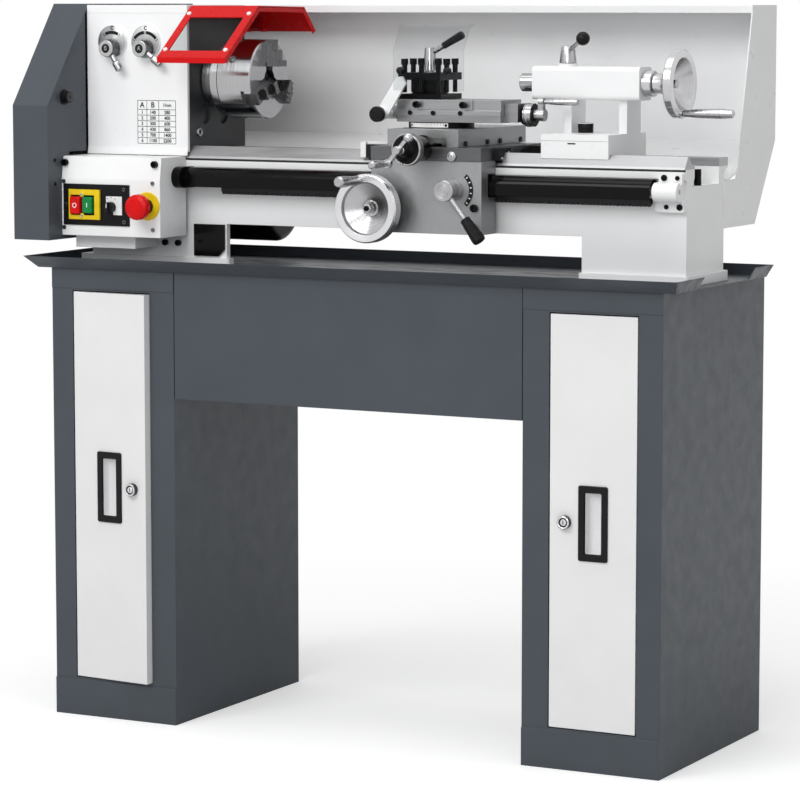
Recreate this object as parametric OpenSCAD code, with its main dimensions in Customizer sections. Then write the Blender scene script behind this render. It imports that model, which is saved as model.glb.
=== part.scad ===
// Bench lathe on a two-cabinet stand, in millimetres.
// X runs along the bed, Y from the operator to the back, Z up from the floor.
// Every dimension below is taken from the front left corner of the stand; place() then
// shifts the whole machine so that the origin is under the middle of its bounding box.

/* [Stand] */
// Length over both cabinets
stand_w = 1050; // [1000:5:1200]
// Depth of the cabinets
stand_d = 393; // [360:1:450]
// Height of the cabinets, floor to tray
stand_h = 716; // [600:1:860]
// Width of one cabinet
cab_w = 224; // [200:1:260]
// Height of the plinth band
plinth_h = 58; // [40:1:80]
// Height of the band above the door
top_band_h = 32; // [24:1:45]
// How far the bands stand proud of the cabinet front
band_proud = 2; // [1:0.5:4]
// Thickness of the cabinet and tray sheet
sheet = 2; // [1.5:0.5:3]
// Cabinet frame left beside the door on its hinge side
hinge_margin = 38; // [25:1:45]
// Cabinet frame left beside the door on its lock side
lock_margin = 43; // [25:1:50]
// Gap round a door
door_gap = 2; // [1.5:0.5:4]
// Depth of the door pan
door_t = 15; // [10:1:20]
// How far the left door stands open, degrees
door_ajar = 5.5; // [0:0.5:20]
// Diameter of the hinge pins
hinge_pin_d = 5; // [4:0.5:6]
// Width of the handle recess
recess_w = 24; // [18:1:30]
// Height of the handle recess
recess_h = 90; // [70:1:110]
// Depth of the handle recess
recess_d = 11; // [6:1:12]
// Diameter of the lock cylinder
lock_d = 20; // [16:1:24]
// Height of the centre panel
panel_h = 198; // [120:1:300]
// Gap between the centre panel and each cabinet
panel_gap = 1.5; // [1:0.5:3]

/* [Tray] */
// How far the tray floor runs past the stand at each end
tray_over_x = 22; // [10:1:40]
// How far the tray floor runs past the stand at the front
tray_over_front = 6; // [0:1:20]
// Depth of the tray floor
tray_d = 351; // [330:1:420]
// Height of the tray rim
rim_h = 19; // [12:1:30]
// Outward lean of the front rim
rim_lean_front = 25; // [5:1:35]
// Outward lean of the end rims
rim_lean_side = 12; // [4:1:20]

/* [Bed] */
// Length of the bed
bed_l = 1028; // [950:1:1100]
// Gap between the stand's left side and the bed's left end
bed_inset = 19; // [18:1:30]
// Distance between the outer faces of the two ways
bed_w = 166; // [160:1:190]
// Distance from the front of the stand to the front way
bed_front = 80; // [78:1:110]
// Height of the rear flat way above the tray
bed_h = 186; // [180:1:200]
// Height of the side walls of the bed
bed_wall_h = 115; // [108:1:125]
// Thickness of the side walls
bed_wall = 20; // [14:1:24]
// Height of the V way above the rear flat way
vway_rise = 6.5; // [4:0.5:8]
// Number of cross ribs between the feet
rib_count = 4; // [2:1:6]
// Length of the left foot
foot_left_l = 237; // [200:1:260]
// Length of the right foot
foot_right_l = 168; // [140:1:200]
// Height of the foot flange
foot_flange_h = 15; // [10:1:20]
// Wall of the hollow feet
foot_wall = 10; // [8:1:14]

/* [Drive] */
// Height of the spindle axis above the rear way
centre_h = 110; // [105:1:125]
// Distance of the spindle axis behind the front way
spindle_back = 85; // [80:1:92]
// Module of the change gears and the headstock gears
gear_m = 2.5; // [2:0.5:2.5]
// Teeth of the gear on the tail of the spindle
spindle_teeth = 24; // [20:1:28]
// Teeth of the gear on the leadscrew
leadscrew_teeth = 28; // [24:1:30]
// Teeth of the large gear inside the headstock
bull_teeth = 40; // [38:1:42]
// Teeth of the pinion on the input shaft
pinion_teeth = 20; // [18:1:22]
// Face width of the change gears
gear_w = 14; // [10:1:16]
// Diameter of the motor
motor_d = 124; // [100:1:130]
// Length of the motor body
motor_l = 178; // [170:1:235]
// Diameter of the motor pulley
motor_pulley_d = 50; // [40:1:60]
// Diameter of the input pulley
input_pulley_d = 90; // [70:1:100]
// Thickness of the drive belt
belt_t = 5; // [4:1:8]
// Width of the drive belt
belt_w = 15; // [10:1:18]

/* [Headstock] */
// Length of the headstock casing
head_l = 185; // [175:1:200]
// Depth of the headstock casing
head_d = 172; // [165:1:176]
// Height of the casing above the rear way
head_h = 213; // [200:1:225]
// Wall of the casing
head_wall = 10; // [8:1:12]
// Thickness of the front plate
front_plate_t = 6; // [4:1:8]
// Thickness of the lid
lid_t = 13; // [8:1:16]
// Width of the gear cover
cover_w = 65; // [62:1:75]
// Distance from the front way to the front of the gear cover
cover_front = 116; // [100:1:130]
// Spacing of the two speed levers
lever_gap = 62; // [52:1:70]

/* [Chuck] */
// Diameter of the chuck
chuck_d = 125; // [100:1:130]
// Length of the chuck body
chuck_l = 62; // [50:1:70]
// Thickness of the back plate
backplate_t = 12; // [8:1:16]
// Width of a jaw
jaw_w = 20; // [14:1:22]
// Length of a jaw along its slot
jaw_l = 48; // [40:1:50]
// Distance from the axis to the tips of the jaws
jaw_open = 14; // [13:1:16]
// Depth of the jaw slots
jaw_depth = 18; // [14:1:22]
// Diameter of the hole through the chuck
chuck_bore_d = 32; // [20:1:36]
// Length of the chuck guard
guard_l = 124; // [110:1:135]

/* [Controls] */
// Width of the control box
box_w = 181; // [160:1:186]
// Height of the control box
box_h = 124; // [110:1:126]
// Depth of the control box
box_d = 77.7; // [60:0.1:77.7]
// Diameter of the emergency stop button
estop_d = 40; // [30:1:44]
// Travel of the push buttons
button_travel = 3; // [2:0.5:4]

/* [Carriage] */
// Length of the saddle along the bed
saddle_l = 185; // [170:1:195]
// Distance from the front of the stand to the left side of the saddle
saddle_x = 557; // [545:1:560]
// Thickness of the apron from front to back
apron_t = 48; // [44:1:50]
// Height of the apron
apron_h = 109; // [104:1:112]
// Diameter of the carriage handwheel
wheel_d = 104; // [90:1:110]
// Width of the cross slide
cross_w = 119; // [110:1:126]
// Length of the cross slide
cross_l = 233; // [220:1:236]
// Height of the cross slide
cross_h = 26; // [24:1:28]
// Diameter of the swivel base
swivel_d = 100; // [92:1:104]
// Length of the top slide
top_l = 175; // [165:1:176]
// Depth of the top slide
top_d = 72; // [66:1:76]
// Side of the square tool post
post_w = 72; // [64:1:72]
// Throw of the top slide crank
top_throw = 20; // [16:1:20]
// Throw of the cross slide crank
cross_throw = 27; // [20:1:30]
// Diameter of the black sleeve behind the cross dial, mm
sleeve_d = 38; // [34:1:40]

/* [Tailstock] */
// Length of the tailstock base
tail_base_l = 110; // [100:1:116]
// Distance from the left side of the stand to the tailstock base
tail_x = 812; // [810:1:830]
// Height of the tailstock base above the rear way
tail_base_h = 35.5; // [32:0.5:35.5]
// Length of the tailstock barrel
barrel_l = 176; // [150:1:180]
// Height and depth of the barrel casting
barrel_d = 50; // [46:1:50]
// Diameter of the quill
quill_d = 28; // [24:1:30]
// How far the quill stands out of the barrel
quill_out = 26; // [10:1:30]
// Diameter of the tailstock handwheel
tail_wheel_d = 102; // [90:1:106]

/* [Rear guard] */
// Distance from the front of the stand to the back of the guard
guard_back = 433; // [425:1:450]
// Depth of the top shelf of the guard
shelf_d = 97; // [60:1:110]
// Height of the lip at the front of the shelf
guard_lip = 12; // [8:1:16]

/* [Fits] */
// Running clearance between a shaft and its hole
run_c = 0.05; // [0.02:0.01:0.09]
// Clearance between sliding faces
slide_c = 0.2; // [0.1:0.05:0.3]
// Clearance between parts that are bolted together
seat_c = 0.2; // [0:0.05:0.3]

/* [Hidden] */
$fn = 64;
eps = 0.01;

// Places that several pieces share
tray_x0 = -tray_over_x;
tray_x1 = stand_w + tray_over_x;
tray_y0 = -tray_over_front;
tray_y1 = tray_y0 + tray_d;
deck = stand_h + sheet;
way_z = stand_h + bed_h;
crest_z = way_z + vway_rise;
bed_x0 = bed_inset;
bed_x1 = bed_x0 + bed_l;
bed_y0 = bed_front;
bed_y1 = bed_front + bed_w;
crest_y = bed_y0 + 15;
front_wall_y = bed_y0 + 10;
rear_wall_y = bed_y1 - 14;
bed_bottom = way_z - bed_wall_h;
rail_z = way_z - 26;
axis_y = bed_y0 + spindle_back;
axis_z = way_z + centre_h;
head_x0 = bed_x0;
head_x1 = head_x0 + head_l;
head_y0 = bed_y0 + front_plate_t;
head_y1 = head_y0 + head_d;
head_top = way_z + head_h;
cover_x1 = bed_x0 - 0.3;
cover_x0 = cover_x1 - cover_w;
cover_y0 = bed_y0 - cover_front;
cover_top = head_top + lid_t + 2;
screw_y = bed_y0 - 10;
screw_z = way_z - 44;
screw_r = 10;
gear_x0 = cover_x0 + 16;
gear_x1 = gear_x0 + gear_w;
spindle_r = 20;
nose_x = head_x1 + 2;
back_x = head_x1 + 25;
chuck_x0 = back_x + backplate_t;
chuck_x1 = chuck_x0 + chuck_l;

// Input shaft, idler and motor axes, as [y, z]
input_c = (bull_teeth + pinion_teeth) * gear_m / 2 + 0.15;
input_y = axis_y + input_c * cos(45);
input_z = axis_z - input_c * sin(45);
idler_teeth = ceil((norm([screw_y - axis_y, screw_z - axis_z]) + 8) / gear_m
    - (spindle_teeth + leadscrew_teeth) / 2);
idler_a = (spindle_teeth + idler_teeth) * gear_m / 2 + 0.15;
idler_b = (idler_teeth + leadscrew_teeth) * gear_m / 2 + 0.15;
span_y = screw_y - axis_y;
span_z = screw_z - axis_z;
span = norm([span_y, span_z]);
along = (idler_a * idler_a - idler_b * idler_b + span * span) / (2 * span);
aside = sqrt(max(idler_a * idler_a - along * along, 0));
idler_y = axis_y + along * span_y / span - aside * span_z / span;
idler_z = axis_z + along * span_z / span + aside * span_y / span;
motor_y = bed_y1 + 79;
motor_z = way_z - 95;
motor_x0 = head_x0 + 41;
pulley_x0 = cover_x1 - 28;

// Carriage
saddle_x1 = saddle_x + saddle_l;
saddle_y0 = bed_y0 - 52;
saddle_y1 = bed_y1 + 4;
saddle_bottom = way_z - 5;
saddle_top = way_z + 15;
apron_y0 = bed_y0 - 2 - apron_t;
apron_top = saddle_bottom - seat_c;
wheel_x = saddle_x + 12;
wheel_z = way_z - 77;
rack_m = 2;
rack_teeth = 11;
rack_z = wheel_z + rack_m * rack_teeth / 2 + 0.15;
nut_lever_x = saddle_x + 139;
nut_lever_z = way_z - 48;
cross_x0 = saddle_x + 25;
cross_y0 = bed_y0 - 45;
cross_z0 = saddle_top + slide_c;
cross_z1 = cross_z0 + cross_h;
cross_axis_x = cross_x0 + cross_w / 2;
cross_axis_z = saddle_top - 2;
swivel_x = cross_x0 + 46;
swivel_y = cross_y0 + 89;
swivel_z0 = cross_z1;
swivel_z1 = swivel_z0 + 9;
top_x0 = swivel_x - 58;
top_x1 = top_x0 + top_l;
top_y0 = swivel_y - top_d / 2;
top_z0 = swivel_z1;
top_z1 = top_z0 + 34;
gib_z = top_z0 + 10;
top_axis_z = top_z0 + 12;
post_x0 = top_x0 + 1;
post_y0 = swivel_y + 2 - post_w / 2;
post_x = post_x0 + post_w / 2;
post_y = post_y0 + post_w / 2;
post_z1 = top_z1 + 40;

// Tailstock
tail_x1 = tail_x + tail_base_l;
tail_y0 = bed_y0 + 8;
tail_y1 = bed_y1 - 20;
tail_top = way_z + tail_base_h;
tail_split = way_z + 26;
barrel_x0 = tail_x - 41;
barrel_x1 = barrel_x0 + barrel_l;
tail_wheel_x = barrel_x1 + 56;

// Control box
box_x0 = head_x0;
box_y0 = bed_y0 - box_d - 0.3;
box_z1 = way_z - 10;
box_z0 = box_z1 - box_h;
estop_x = box_x0 + 158.5;
estop_z = box_z0 + 49;

// Middle of the bounding box
min_x = min(cover_x0, tray_x0 - rim_lean_side);
max_x = max(tray_x1 + rim_lean_side, tail_wheel_x + 87);
min_y = cross_y0 - 133;
origin_x = (min_x + max_x) / 2;
origin_y = (min_y + guard_back) / 2;

module place() { translate([-origin_x, -origin_y, 0]) children(); }

// Solids from flat outlines and round bars, by direction
module along_x(x0, x1) { translate([x0, 0, 0]) rotate([90, 0, 90]) linear_extrude(x1 - x0) children(); }
module along_y(y0, y1) { translate([0, y1, 0]) rotate([90, 0, 0]) linear_extrude(y1 - y0) children(); }
module bar_x(x0, x1, y, z, r) { translate([x0, y, z]) rotate([0, 90, 0]) cylinder(h = x1 - x0, r = r); }
module bar_y(y0, y1, x, z, r) { translate([x, y1, z]) rotate([90, 0, 0]) cylinder(h = y1 - y0, r = r); }
module bar_z(z0, z1, x, y, r) { translate([x, y, z0]) cylinder(h = z1 - z0, r = r); }
module box(x0, x1, y0, y1, z0, z1) { translate([x0, y0, z0]) cube([x1 - x0, y1 - y0, z1 - z0]); }
module turned_x(x0, y, z) { translate([x0, y, z]) rotate([0, 90, 0]) rotate([0, 0, 90]) rotate_extrude() children(); }
module turned_y(y0, x, z) { translate([x, y0, z]) rotate([-90, 0, 0]) rotate_extrude() children(); }

// Rectangle with true round corners
module round_rect(x0, x1, y0, y1, r) {
    translate([x0 + r, y0]) square([x1 - x0 - 2 * r, y1 - y0]);
    translate([x0, y0 + r]) square([x1 - x0, y1 - y0 - 2 * r]);
    for (x = [x0 + r, x1 - r], y = [y0 + r, y1 - r]) translate([x, y]) circle(r);
}

// Folded sheet: straight runs of thickness t through the points, with round bends
module fold(pts, t) {
    for (i = [0 : len(pts) - 2]) {
        a = pts[i];
        b = pts[i + 1];
        n = [-(b[1] - a[1]), b[0] - a[0]] * t / 2 / norm(b - a);
        polygon([a + n, b + n, b - n, a - n]);
        if (i > 0) translate(a) circle(t / 2, $fn = 24);
    }
}

// Spur gear with straight-flanked teeth and 0.15 module backlash a side
module gear(teeth, m, width, bore, phase = 0) {
    r = teeth * m / 2;
    pitch = 360 / teeth;
    linear_extrude(width) difference() {
        rotate(phase) polygon([for (i = [0 : teeth - 1]) for (p = [[-0.37, r - 1.2 * m],
            [-0.13, r + 0.9 * m], [0.13, r + 0.9 * m], [0.37, r - 1.2 * m]])
            p[1] * [cos((i + p[0]) * pitch), sin((i + p[0]) * pitch)]]);
        circle(bore);
    }
}
module gear_at(x0, y, z, teeth, width, bore, phase) {
    translate([x0, y, z]) rotate([90, 0, 90]) gear(teeth, gear_m, width, bore, phase);
}

// ---- Stand ----

// Cabinet shell in its own frame: hinge side at x = 0, mirrored for the right one
module cabinet() {
    door_x0 = hinge_margin;
    door_x1 = cab_w - lock_margin;
    door_z0 = plinth_h + 3;
    door_z1 = stand_h - top_band_h - 3;
    difference() {
        union() {
            difference() {
                box(0, cab_w, 0, stand_d, 0, stand_h);
                box(sheet, cab_w - sheet, sheet, stand_d - sheet, sheet, stand_h - sheet);
            }
            box(0, cab_w, -band_proud, eps, 0, plinth_h);
            box(0, cab_w, -band_proud / 2, eps, stand_h - top_band_h, stand_h);
            for (z = [door_z0 - sheet, door_z1])
                box(door_x0 - sheet, door_x1 + sheet, eps, door_t + 2, z, z + sheet);
        }
        box(door_x0, door_x1, -5, door_t + 1, door_z0, door_z1);
    }
    for (z = [door_z0 - sheet, door_z1 - door_gap - 6])
        bar_z(z, z + sheet + door_gap + 6, door_x0 + door_gap + 9, 5.5, hinge_pin_d / 2);
}

// Door pan in the cabinet's frame
module door() {
    x0 = hinge_margin + door_gap;
    x1 = cab_w - lock_margin - door_gap;
    z0 = plinth_h + 3 + door_gap;
    z1 = stand_h - top_band_h - 3 - door_gap;
    rx = x0 + 68.7;
    rz = plinth_h + 314;
    difference() {
        union() {
            difference() {
                box(x0, x1, 0, door_t, z0, z1);
                box(x0 + 1.2, x1 - 1.2, 1.2, door_t + 1, z0 + 8, z1 - 8);
            }
            box(rx - recess_w / 2 - 1, rx + recess_w / 2 + 1, 0.5, recess_d + 1,
                rz - recess_h / 2 - 1, rz + recess_h / 2 + 1);
        }
        box(rx - recess_w / 2, rx + recess_w / 2, -1, recess_d, rz - recess_h / 2, rz + recess_h / 2);
        bar_y(-1, 3, x0 + 114, rz, 8 + run_c);
        for (z = [z0 - 1, z1 - 6.5]) bar_z(z, z + 7.5, x0 + 9, 5.5, hinge_pin_d / 2 + run_c);
    }
}

// Lock barrel with its cam, in the cabinet's frame
module lock() {
    x = hinge_margin + door_gap + 114;
    z = plinth_h + 314;
    difference() {
        bar_y(-8, -0.1, x, z, lock_d / 2);
        bar_y(-9, -6, x, z, 5.5);
    }
    bar_y(-7, -2, x, z, 4);
    bar_y(-2, 19, x, z, 8);
    box(x - 6, x + 6, 19, 21, z - 8, z + 34);
}
module hinge_swing(angle) {
    x = hinge_margin + door_gap + 9;
    translate([x, 5.5, 0]) rotate([0, 0, angle]) translate([-x, -5.5, 0]) children();
}
module right_side() { translate([stand_w, 0, 0]) mirror([1, 0, 0]) children(); }
module left_cabinet() { color("#4d5359") place() cabinet(); }
module right_cabinet() { color("#4d5359") place() right_side() cabinet(); }
module left_door() { color("#e6e6e6") place() hinge_swing(-door_ajar) door(); }
module right_door() { color("#e6e6e6") place() right_side() door(); }
module left_door_lock() { color("#55585a") place() hinge_swing(-door_ajar) lock(); }
module right_door_lock() { color("#55585a") place() right_side() lock(); }

module centre_panel() {
    x0 = cab_w + panel_gap;
    x1 = stand_w - cab_w - panel_gap;
    color("#4d5359") place() difference() {
        box(x0, x1, 0, 22, stand_h - panel_h, stand_h);
        box(x0 + sheet, x1 - sheet, sheet, 23, stand_h - panel_h + sheet, stand_h - sheet);
    }
}

module rim_block(grow, z0, z1, lean) {
    y = [tray_y0 - grow, tray_y1 + grow];
    hull() {
        box(tray_x0 - grow, tray_x1 + grow, y[0], y[1], z0, z0 + eps);
        box(tray_x0 - grow - rim_lean_side * lean, tray_x1 + grow + rim_lean_side * lean,
            y[0] - rim_lean_front * lean, y[1], z1 - eps, z1);
    }
}
module chip_tray() {
    notch_y0 = tray_y0 + 78;
    color("#4d5359") place() difference() {
        rim_block(0, stand_h, stand_h + rim_h, 1);
        difference() {
            rim_block(-sheet, stand_h, stand_h + rim_h + eps, 1);
            box(tray_x0 - 50, tray_x1 + 50, tray_y0 - 50, tray_y1 + 50, stand_h - 1, deck);
        }
        box(tray_x1 - 4, tray_x1 + 40, notch_y0, notch_y0 + 198, deck, deck + rim_h);
    }
}

// ---- Bed ----

// Front rail with the V way, as seen from the right end
module front_rail() {
    y0 = bed_y0;
    wall = front_wall_y;
    polygon([[wall, bed_bottom], [wall, rail_z - 4], [y0, rail_z], [y0, way_z - 13],
        [y0 + 2, way_z - 9], [crest_y - 1, crest_z], [crest_y + 1, crest_z],
        [crest_y + 13, way_z - 6], [y0 + 38, way_z - 6], [y0 + 38, rail_z],
        [wall + bed_wall, rail_z - 8], [wall + bed_wall, bed_bottom]]);
}
module rear_rail() {
    wall = rear_wall_y;
    polygon([[wall - bed_wall, bed_bottom], [wall - bed_wall, way_z], [bed_y1, way_z],
        [bed_y1, way_z - 14], [wall, way_z - 22], [wall, bed_bottom]]);
}
module foot(x0, x1) {
    translate([0, 0, deck]) linear_extrude(foot_flange_h)
        round_rect(x0 - 4, x1 + 5, front_wall_y - 5, rear_wall_y + 9, 4);
    box(x0, x1, front_wall_y, rear_wall_y, deck, bed_bottom + 1);
}
// Open foot under the headstock: full width in front, a shorter leg behind
module open_foot(x0, x1) {
    leg_x1 = x1 - 98;
    difference() {
        union() {
            translate([0, 0, deck]) linear_extrude(foot_flange_h)
                round_rect(x0 - 20, x1 + 6, front_wall_y - 5, rear_wall_y + 9, 4);
            box(x0, x1, front_wall_y, rear_wall_y, deck, bed_bottom + 1);
        }
        box(leg_x1, x1 + 7, front_wall_y + foot_wall, rear_wall_y + 10, deck - 1, bed_bottom + 2);
        box(x0 + foot_wall, leg_x1 + 1, front_wall_y + foot_wall, rear_wall_y - foot_wall,
            deck - 1, bed_bottom + 2);
    }
}
module bed() {
    y_in0 = front_wall_y + bed_wall;
    y_in1 = rear_wall_y - bed_wall;
    rib_pitch = (bed_l - foot_left_l - foot_right_l) / (rib_count + 1);
    foot_left_x1 = bed_x0 + 12 + foot_left_l;
    foot_right_x0 = bed_x1 - foot_right_l;
    color("#2a2b2c") place() rack();
    color("#e9eaea") place() difference() {
        union() {
            along_x(bed_x0, bed_x1) front_rail();
            along_x(bed_x0, bed_x1) rear_rail();
            for (i = [1 : rib_count])
                box(foot_left_x1 + i * rib_pitch - 6, foot_left_x1 + i * rib_pitch + 6,
                    y_in0 - 1, y_in1 + 1, bed_bottom, way_z - 24);
            for (x = [bed_x0, bed_x1 - 12])
                box(x, x + 12, y_in0 - 1, y_in1 + 1, bed_bottom, way_z - 38);
            open_foot(bed_x0, foot_left_x1);
            foot(foot_right_x0, bed_x1);
            box(box_x0 + 12, box_x0 + 122, bed_y0 - 57, front_wall_y + 2, box_z0 - 20, box_z0 - 0.2);
        }
        box(foot_right_x0 + foot_wall, bed_x1 - foot_wall, front_wall_y + foot_wall,
            rear_wall_y - foot_wall, deck - 1, bed_bottom - 8);
    }
}

// Toothed bar under the front rail that the carriage pinion climbs along
module rack() {
    pitch = PI * rack_m;
    x0 = wheel_x - pitch * floor((wheel_x - head_x1 - 60) / pitch);
    count = floor((bed_x1 - 50 - x0) / pitch);
    along_y(front_wall_y - 10, front_wall_y - seat_c) {
        translate([x0 - pitch / 2, rack_z + 1.2 * rack_m])
            square([count * pitch, screw_z - 12.5 - rack_z - 1.2 * rack_m]);
        for (i = [0 : count - 1]) translate([x0 + i * pitch, rack_z])
            polygon([[-0.36 * pitch, 1.2 * rack_m + eps], [-0.12 * pitch, -0.9 * rack_m],
                [0.12 * pitch, -0.9 * rack_m], [0.36 * pitch, 1.2 * rack_m + eps]]);
    }
}
module leadscrew() {
    color("#8d9093") place() {
        bar_x(gear_x0 - 3, bed_x1 - 9, screw_y, screw_z, screw_r);
        gear_at(gear_x0, screw_y, screw_z, leadscrew_teeth, gear_w, screw_r - 1,
            leadscrew_phase());
    }
}
function leadscrew_phase() = let (a = atan2(idler_z - screw_z, idler_y - screw_y),
    back = atan2(screw_z - idler_z, screw_y - idler_y) - idler_phase())
    a + 180 / leadscrew_teeth + back * idler_teeth / leadscrew_teeth;
function idler_phase() = let (a = atan2(axis_z - idler_z, axis_y - idler_y),
    back = atan2(idler_z - axis_z, idler_y - axis_y))
    a + 180 / idler_teeth + back * spindle_teeth / idler_teeth;

// Black channel over the leadscrew, open below, with its end flange, and the foot plate
module bed_covers() {
    x0 = box_x0 + box_w + 0.3;
    x1 = bed_x1 - 44;
    color("#1b1c1d") place() {
        along_x(x0 + 13.9, x1) difference() {
            union() {
                translate([screw_y, screw_z + 2]) circle(16);
                translate([screw_y - 16, screw_z - 12]) square([32, 14]);
            }
            translate([screw_y, screw_z + 2]) circle(14);
            translate([screw_y - 14, screw_z - 40]) square([28, 42]);
        }
        along_x(x0, x0 + 14) difference() {
            union() {
                translate([screw_y - 18.5, screw_z + 2.5]) circle(16.5);
                translate([screw_y - 18.5, screw_z - 14]) square([28, 33]);
                translate([screw_y - 18.5, screw_z - 14]) square([38.3, 27.5]);
            }
            translate([screw_y, screw_z]) circle(screw_r + 0.4);
        }
        foot_x1 = bed_x0 + 12 + foot_left_l;
        along_y(front_wall_y - 4, front_wall_y - 0.2) polygon([[foot_x1 - 58, deck + 18],
            [foot_x1 - 14, deck + 18], [foot_x1 - 3, deck + 29], [foot_x1 - 3, bed_bottom - 1],
            [foot_x1 - 58, bed_bottom - 1]]);
    }
}

// White casting that carries the right end of the leadscrew
module leadscrew_bracket() {
    x0 = bed_x1 - 42;
    color("#ececec") place() difference() {
        union() {
            bar_x(x0, bed_x1 - 3, screw_y, screw_z - 1, 14);
            box(x0, bed_x1 - 3, screw_y, front_wall_y - seat_c, screw_z - 15, screw_z + 13);
            along_y(bed_y0 - 9, bed_y0 - seat_c) round_rect(x0 + 5, bed_x1,
                screw_z + 9, screw_z + 27, 3);
            along_y(front_wall_y - 10, front_wall_y - seat_c) round_rect(x0 - 4, bed_x1,
                screw_z - 31, screw_z - 12, 4);
        }
        bar_x(x0 - 5, bed_x1 - 8, screw_y, screw_z, screw_r + run_c);
        bar_x(bed_x1 - 20, bed_x1, screw_y, screw_z, 4);
    }
}

// ---- Headstock and drive ----

// Heights of the V way's two flanks, and the underside of anything that sits on the ways
function flank_z(y) = way_z - 9 + (y - bed_y0 - 2) * (vway_rise + 9) / (crest_y - 3 - bed_y0);
function flank_y(z) = bed_y0 + 2 + (z - way_z + 9) * (crest_y - 3 - bed_y0) / (vway_rise + 9);
function back_flank_y(z) = crest_y + 1 + (crest_z - z) * 12 / (vway_rise + 6);
function underside(y0, c) = [[y0, flank_z(y0) + 1.6 * c], [crest_y - 1, crest_z + 1.6 * c],
    [crest_y + 1, crest_z + 1.6 * c], [back_flank_y(way_z - 0.6 * c), way_z + c]];

module headstock_casing() {
    w = head_wall;
    color("#3a3d41") place() {
        difference() {
            along_x(head_x0, head_x1) polygon(concat(underside(head_y0, seat_c),
                [[head_y1, way_z + seat_c], [head_y1, head_top], [head_y0, head_top]]));
            box(head_x0 + w, head_x1 - w, head_y0 + w, head_y1 - w, way_z + w, head_top + 1);
            bar_x(head_x0 - 1, head_x1 + 1, axis_y, axis_z, spindle_r + run_c);
            bar_x(head_x0 - 1, head_x1 - w + 6, input_y, input_z, 10 + run_c);
            for (x = lever_x()) bar_y(head_y0 - 1, head_y0 + w + 1, x, lever_z, 7 + run_c);
            for (p = [[axis_y - 32, axis_z - 54], [axis_y + 23, axis_z - 55]])
                bar_x(head_x1 - 4, head_x1 + 1, p[0], p[1], 17);
            bar_x(head_x1 - 5, head_x1 + 1, axis_y - 51, axis_z - 83, 7);
        }
        bar_x(head_x1 + eps, head_x1 + 46, pivot_y, pivot_z, 5);
        bar_x(gear_x0 - 2, head_x0 - eps, idler_y, idler_z, 8);
    }
}
function lever_x() = [head_x0 + 49, head_x0 + 49 + lever_gap];
lever_z = head_top - 55;
pivot_y = head_y1 - 8;
pivot_z = head_top - 21;

// White front plate with its two dial discs, and the lid
module headstock_covers() {
    y0 = bed_y0;
    color("#ececec") place() {
        difference() {
            union() {
                along_x(head_x0, head_x1) polygon([[y0 - 2, way_z - 9], [y0 - 0.2, way_z - 9],
                    [y0 - 0.2, way_z - 3], [head_y0 - seat_c, way_z - 3],
                    [head_y0 - seat_c, head_top], [y0, head_top], [y0, way_z + 3], [y0 - 2, way_z - 5]]);
                for (x = lever_x()) bar_y(y0 - 4, y0 + 1, x - 0.5, lever_z + 10.5, 26);
            }
            for (x = lever_x()) bar_y(y0 - 5, head_y0 + 1, x, lever_z, 7 + run_c);
        }
        box(head_x0, head_x1, y0, head_y1, head_top + seat_c, head_top + lid_t);
    }
}

// Spindle with its nose flange, the large gear and the tail gear, bored through
module spindle() {
    color("#8f9295") place() {
        difference() {
            union() {
                bar_x(gear_x0 - 3, back_x, axis_y, axis_z, spindle_r);
                bar_x(nose_x, back_x - seat_c, axis_y, axis_z, 45);
            }
            bar_x(gear_x0 - 4, back_x + 1, axis_y, axis_z, spindle_r / 2);
        }
        gear_at(gear_x0, axis_y, axis_z, spindle_teeth, gear_w, spindle_r - 1, 0);
        gear_at(head_x0 + 90, axis_y, axis_z, bull_teeth, 20, spindle_r - 1, 0);
    }
}
module pulley(x0, y, z, r) {
    turned_x(x0, y, z) polygon([[0, 0], [r + 3, 0], [r + 3, 1.2], [r, 1.2],
        [r, belt_w + 1.8], [r + 3, belt_w + 1.8], [r + 3, belt_w + 3], [0, belt_w + 3]]);
}
module input_shaft() {
    a = atan2(input_z - axis_z, input_y - axis_y);
    color("#85888b") place() {
        bar_x(pulley_x0 + belt_w, head_x1 - head_wall + 5, input_y, input_z, 10);
        pulley(pulley_x0, input_y, input_z, input_pulley_d / 2);
        gear_at(head_x0 + 88, input_y, input_z, pinion_teeth, 24, 9,
            a + 180 + 180 / pinion_teeth + a * bull_teeth / pinion_teeth);
    }
}
module motor_pulley() {
    color("#85888b") place() {
        bar_x(pulley_x0 + belt_w, motor_x0 + 18, motor_y, motor_z, 9);
        pulley(pulley_x0, motor_y, motor_z, motor_pulley_d / 2);
    }
}

// Outline round two circles, used for both faces of the belt
function belt_line(r1, r2) = let (dy = motor_y - input_y, dz = motor_z - input_z,
    a = atan2(dz, dy), b = acos((r1 - r2) / norm([dy, dz])))
    concat([for (i = [0 : 24]) let (t = a + b + (360 - 2 * b) * i / 24)
        [input_y + r1 * cos(t), input_z + r1 * sin(t)]],
        [for (i = [0 : 16]) let (t = a - b + 2 * b * i / 16)
        [motor_y + r2 * cos(t), motor_z + r2 * sin(t)]]);
module drive_belt() {
    c = 0.8;
    r1 = input_pulley_d / 2 + c;
    r2 = motor_pulley_d / 2 + c;
    color("#202122") place() along_x(pulley_x0 + 1.5, pulley_x0 + 1.5 + belt_w) difference() {
        polygon(belt_line(r1 + belt_t, r2 + belt_t));
        polygon(belt_line(r1, r2));
    }
}
module idler_gear() {
    color("#8f9295") place()
        gear_at(gear_x0, idler_y, idler_z, idler_teeth, gear_w, 8 + run_c, idler_phase());
}
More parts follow.
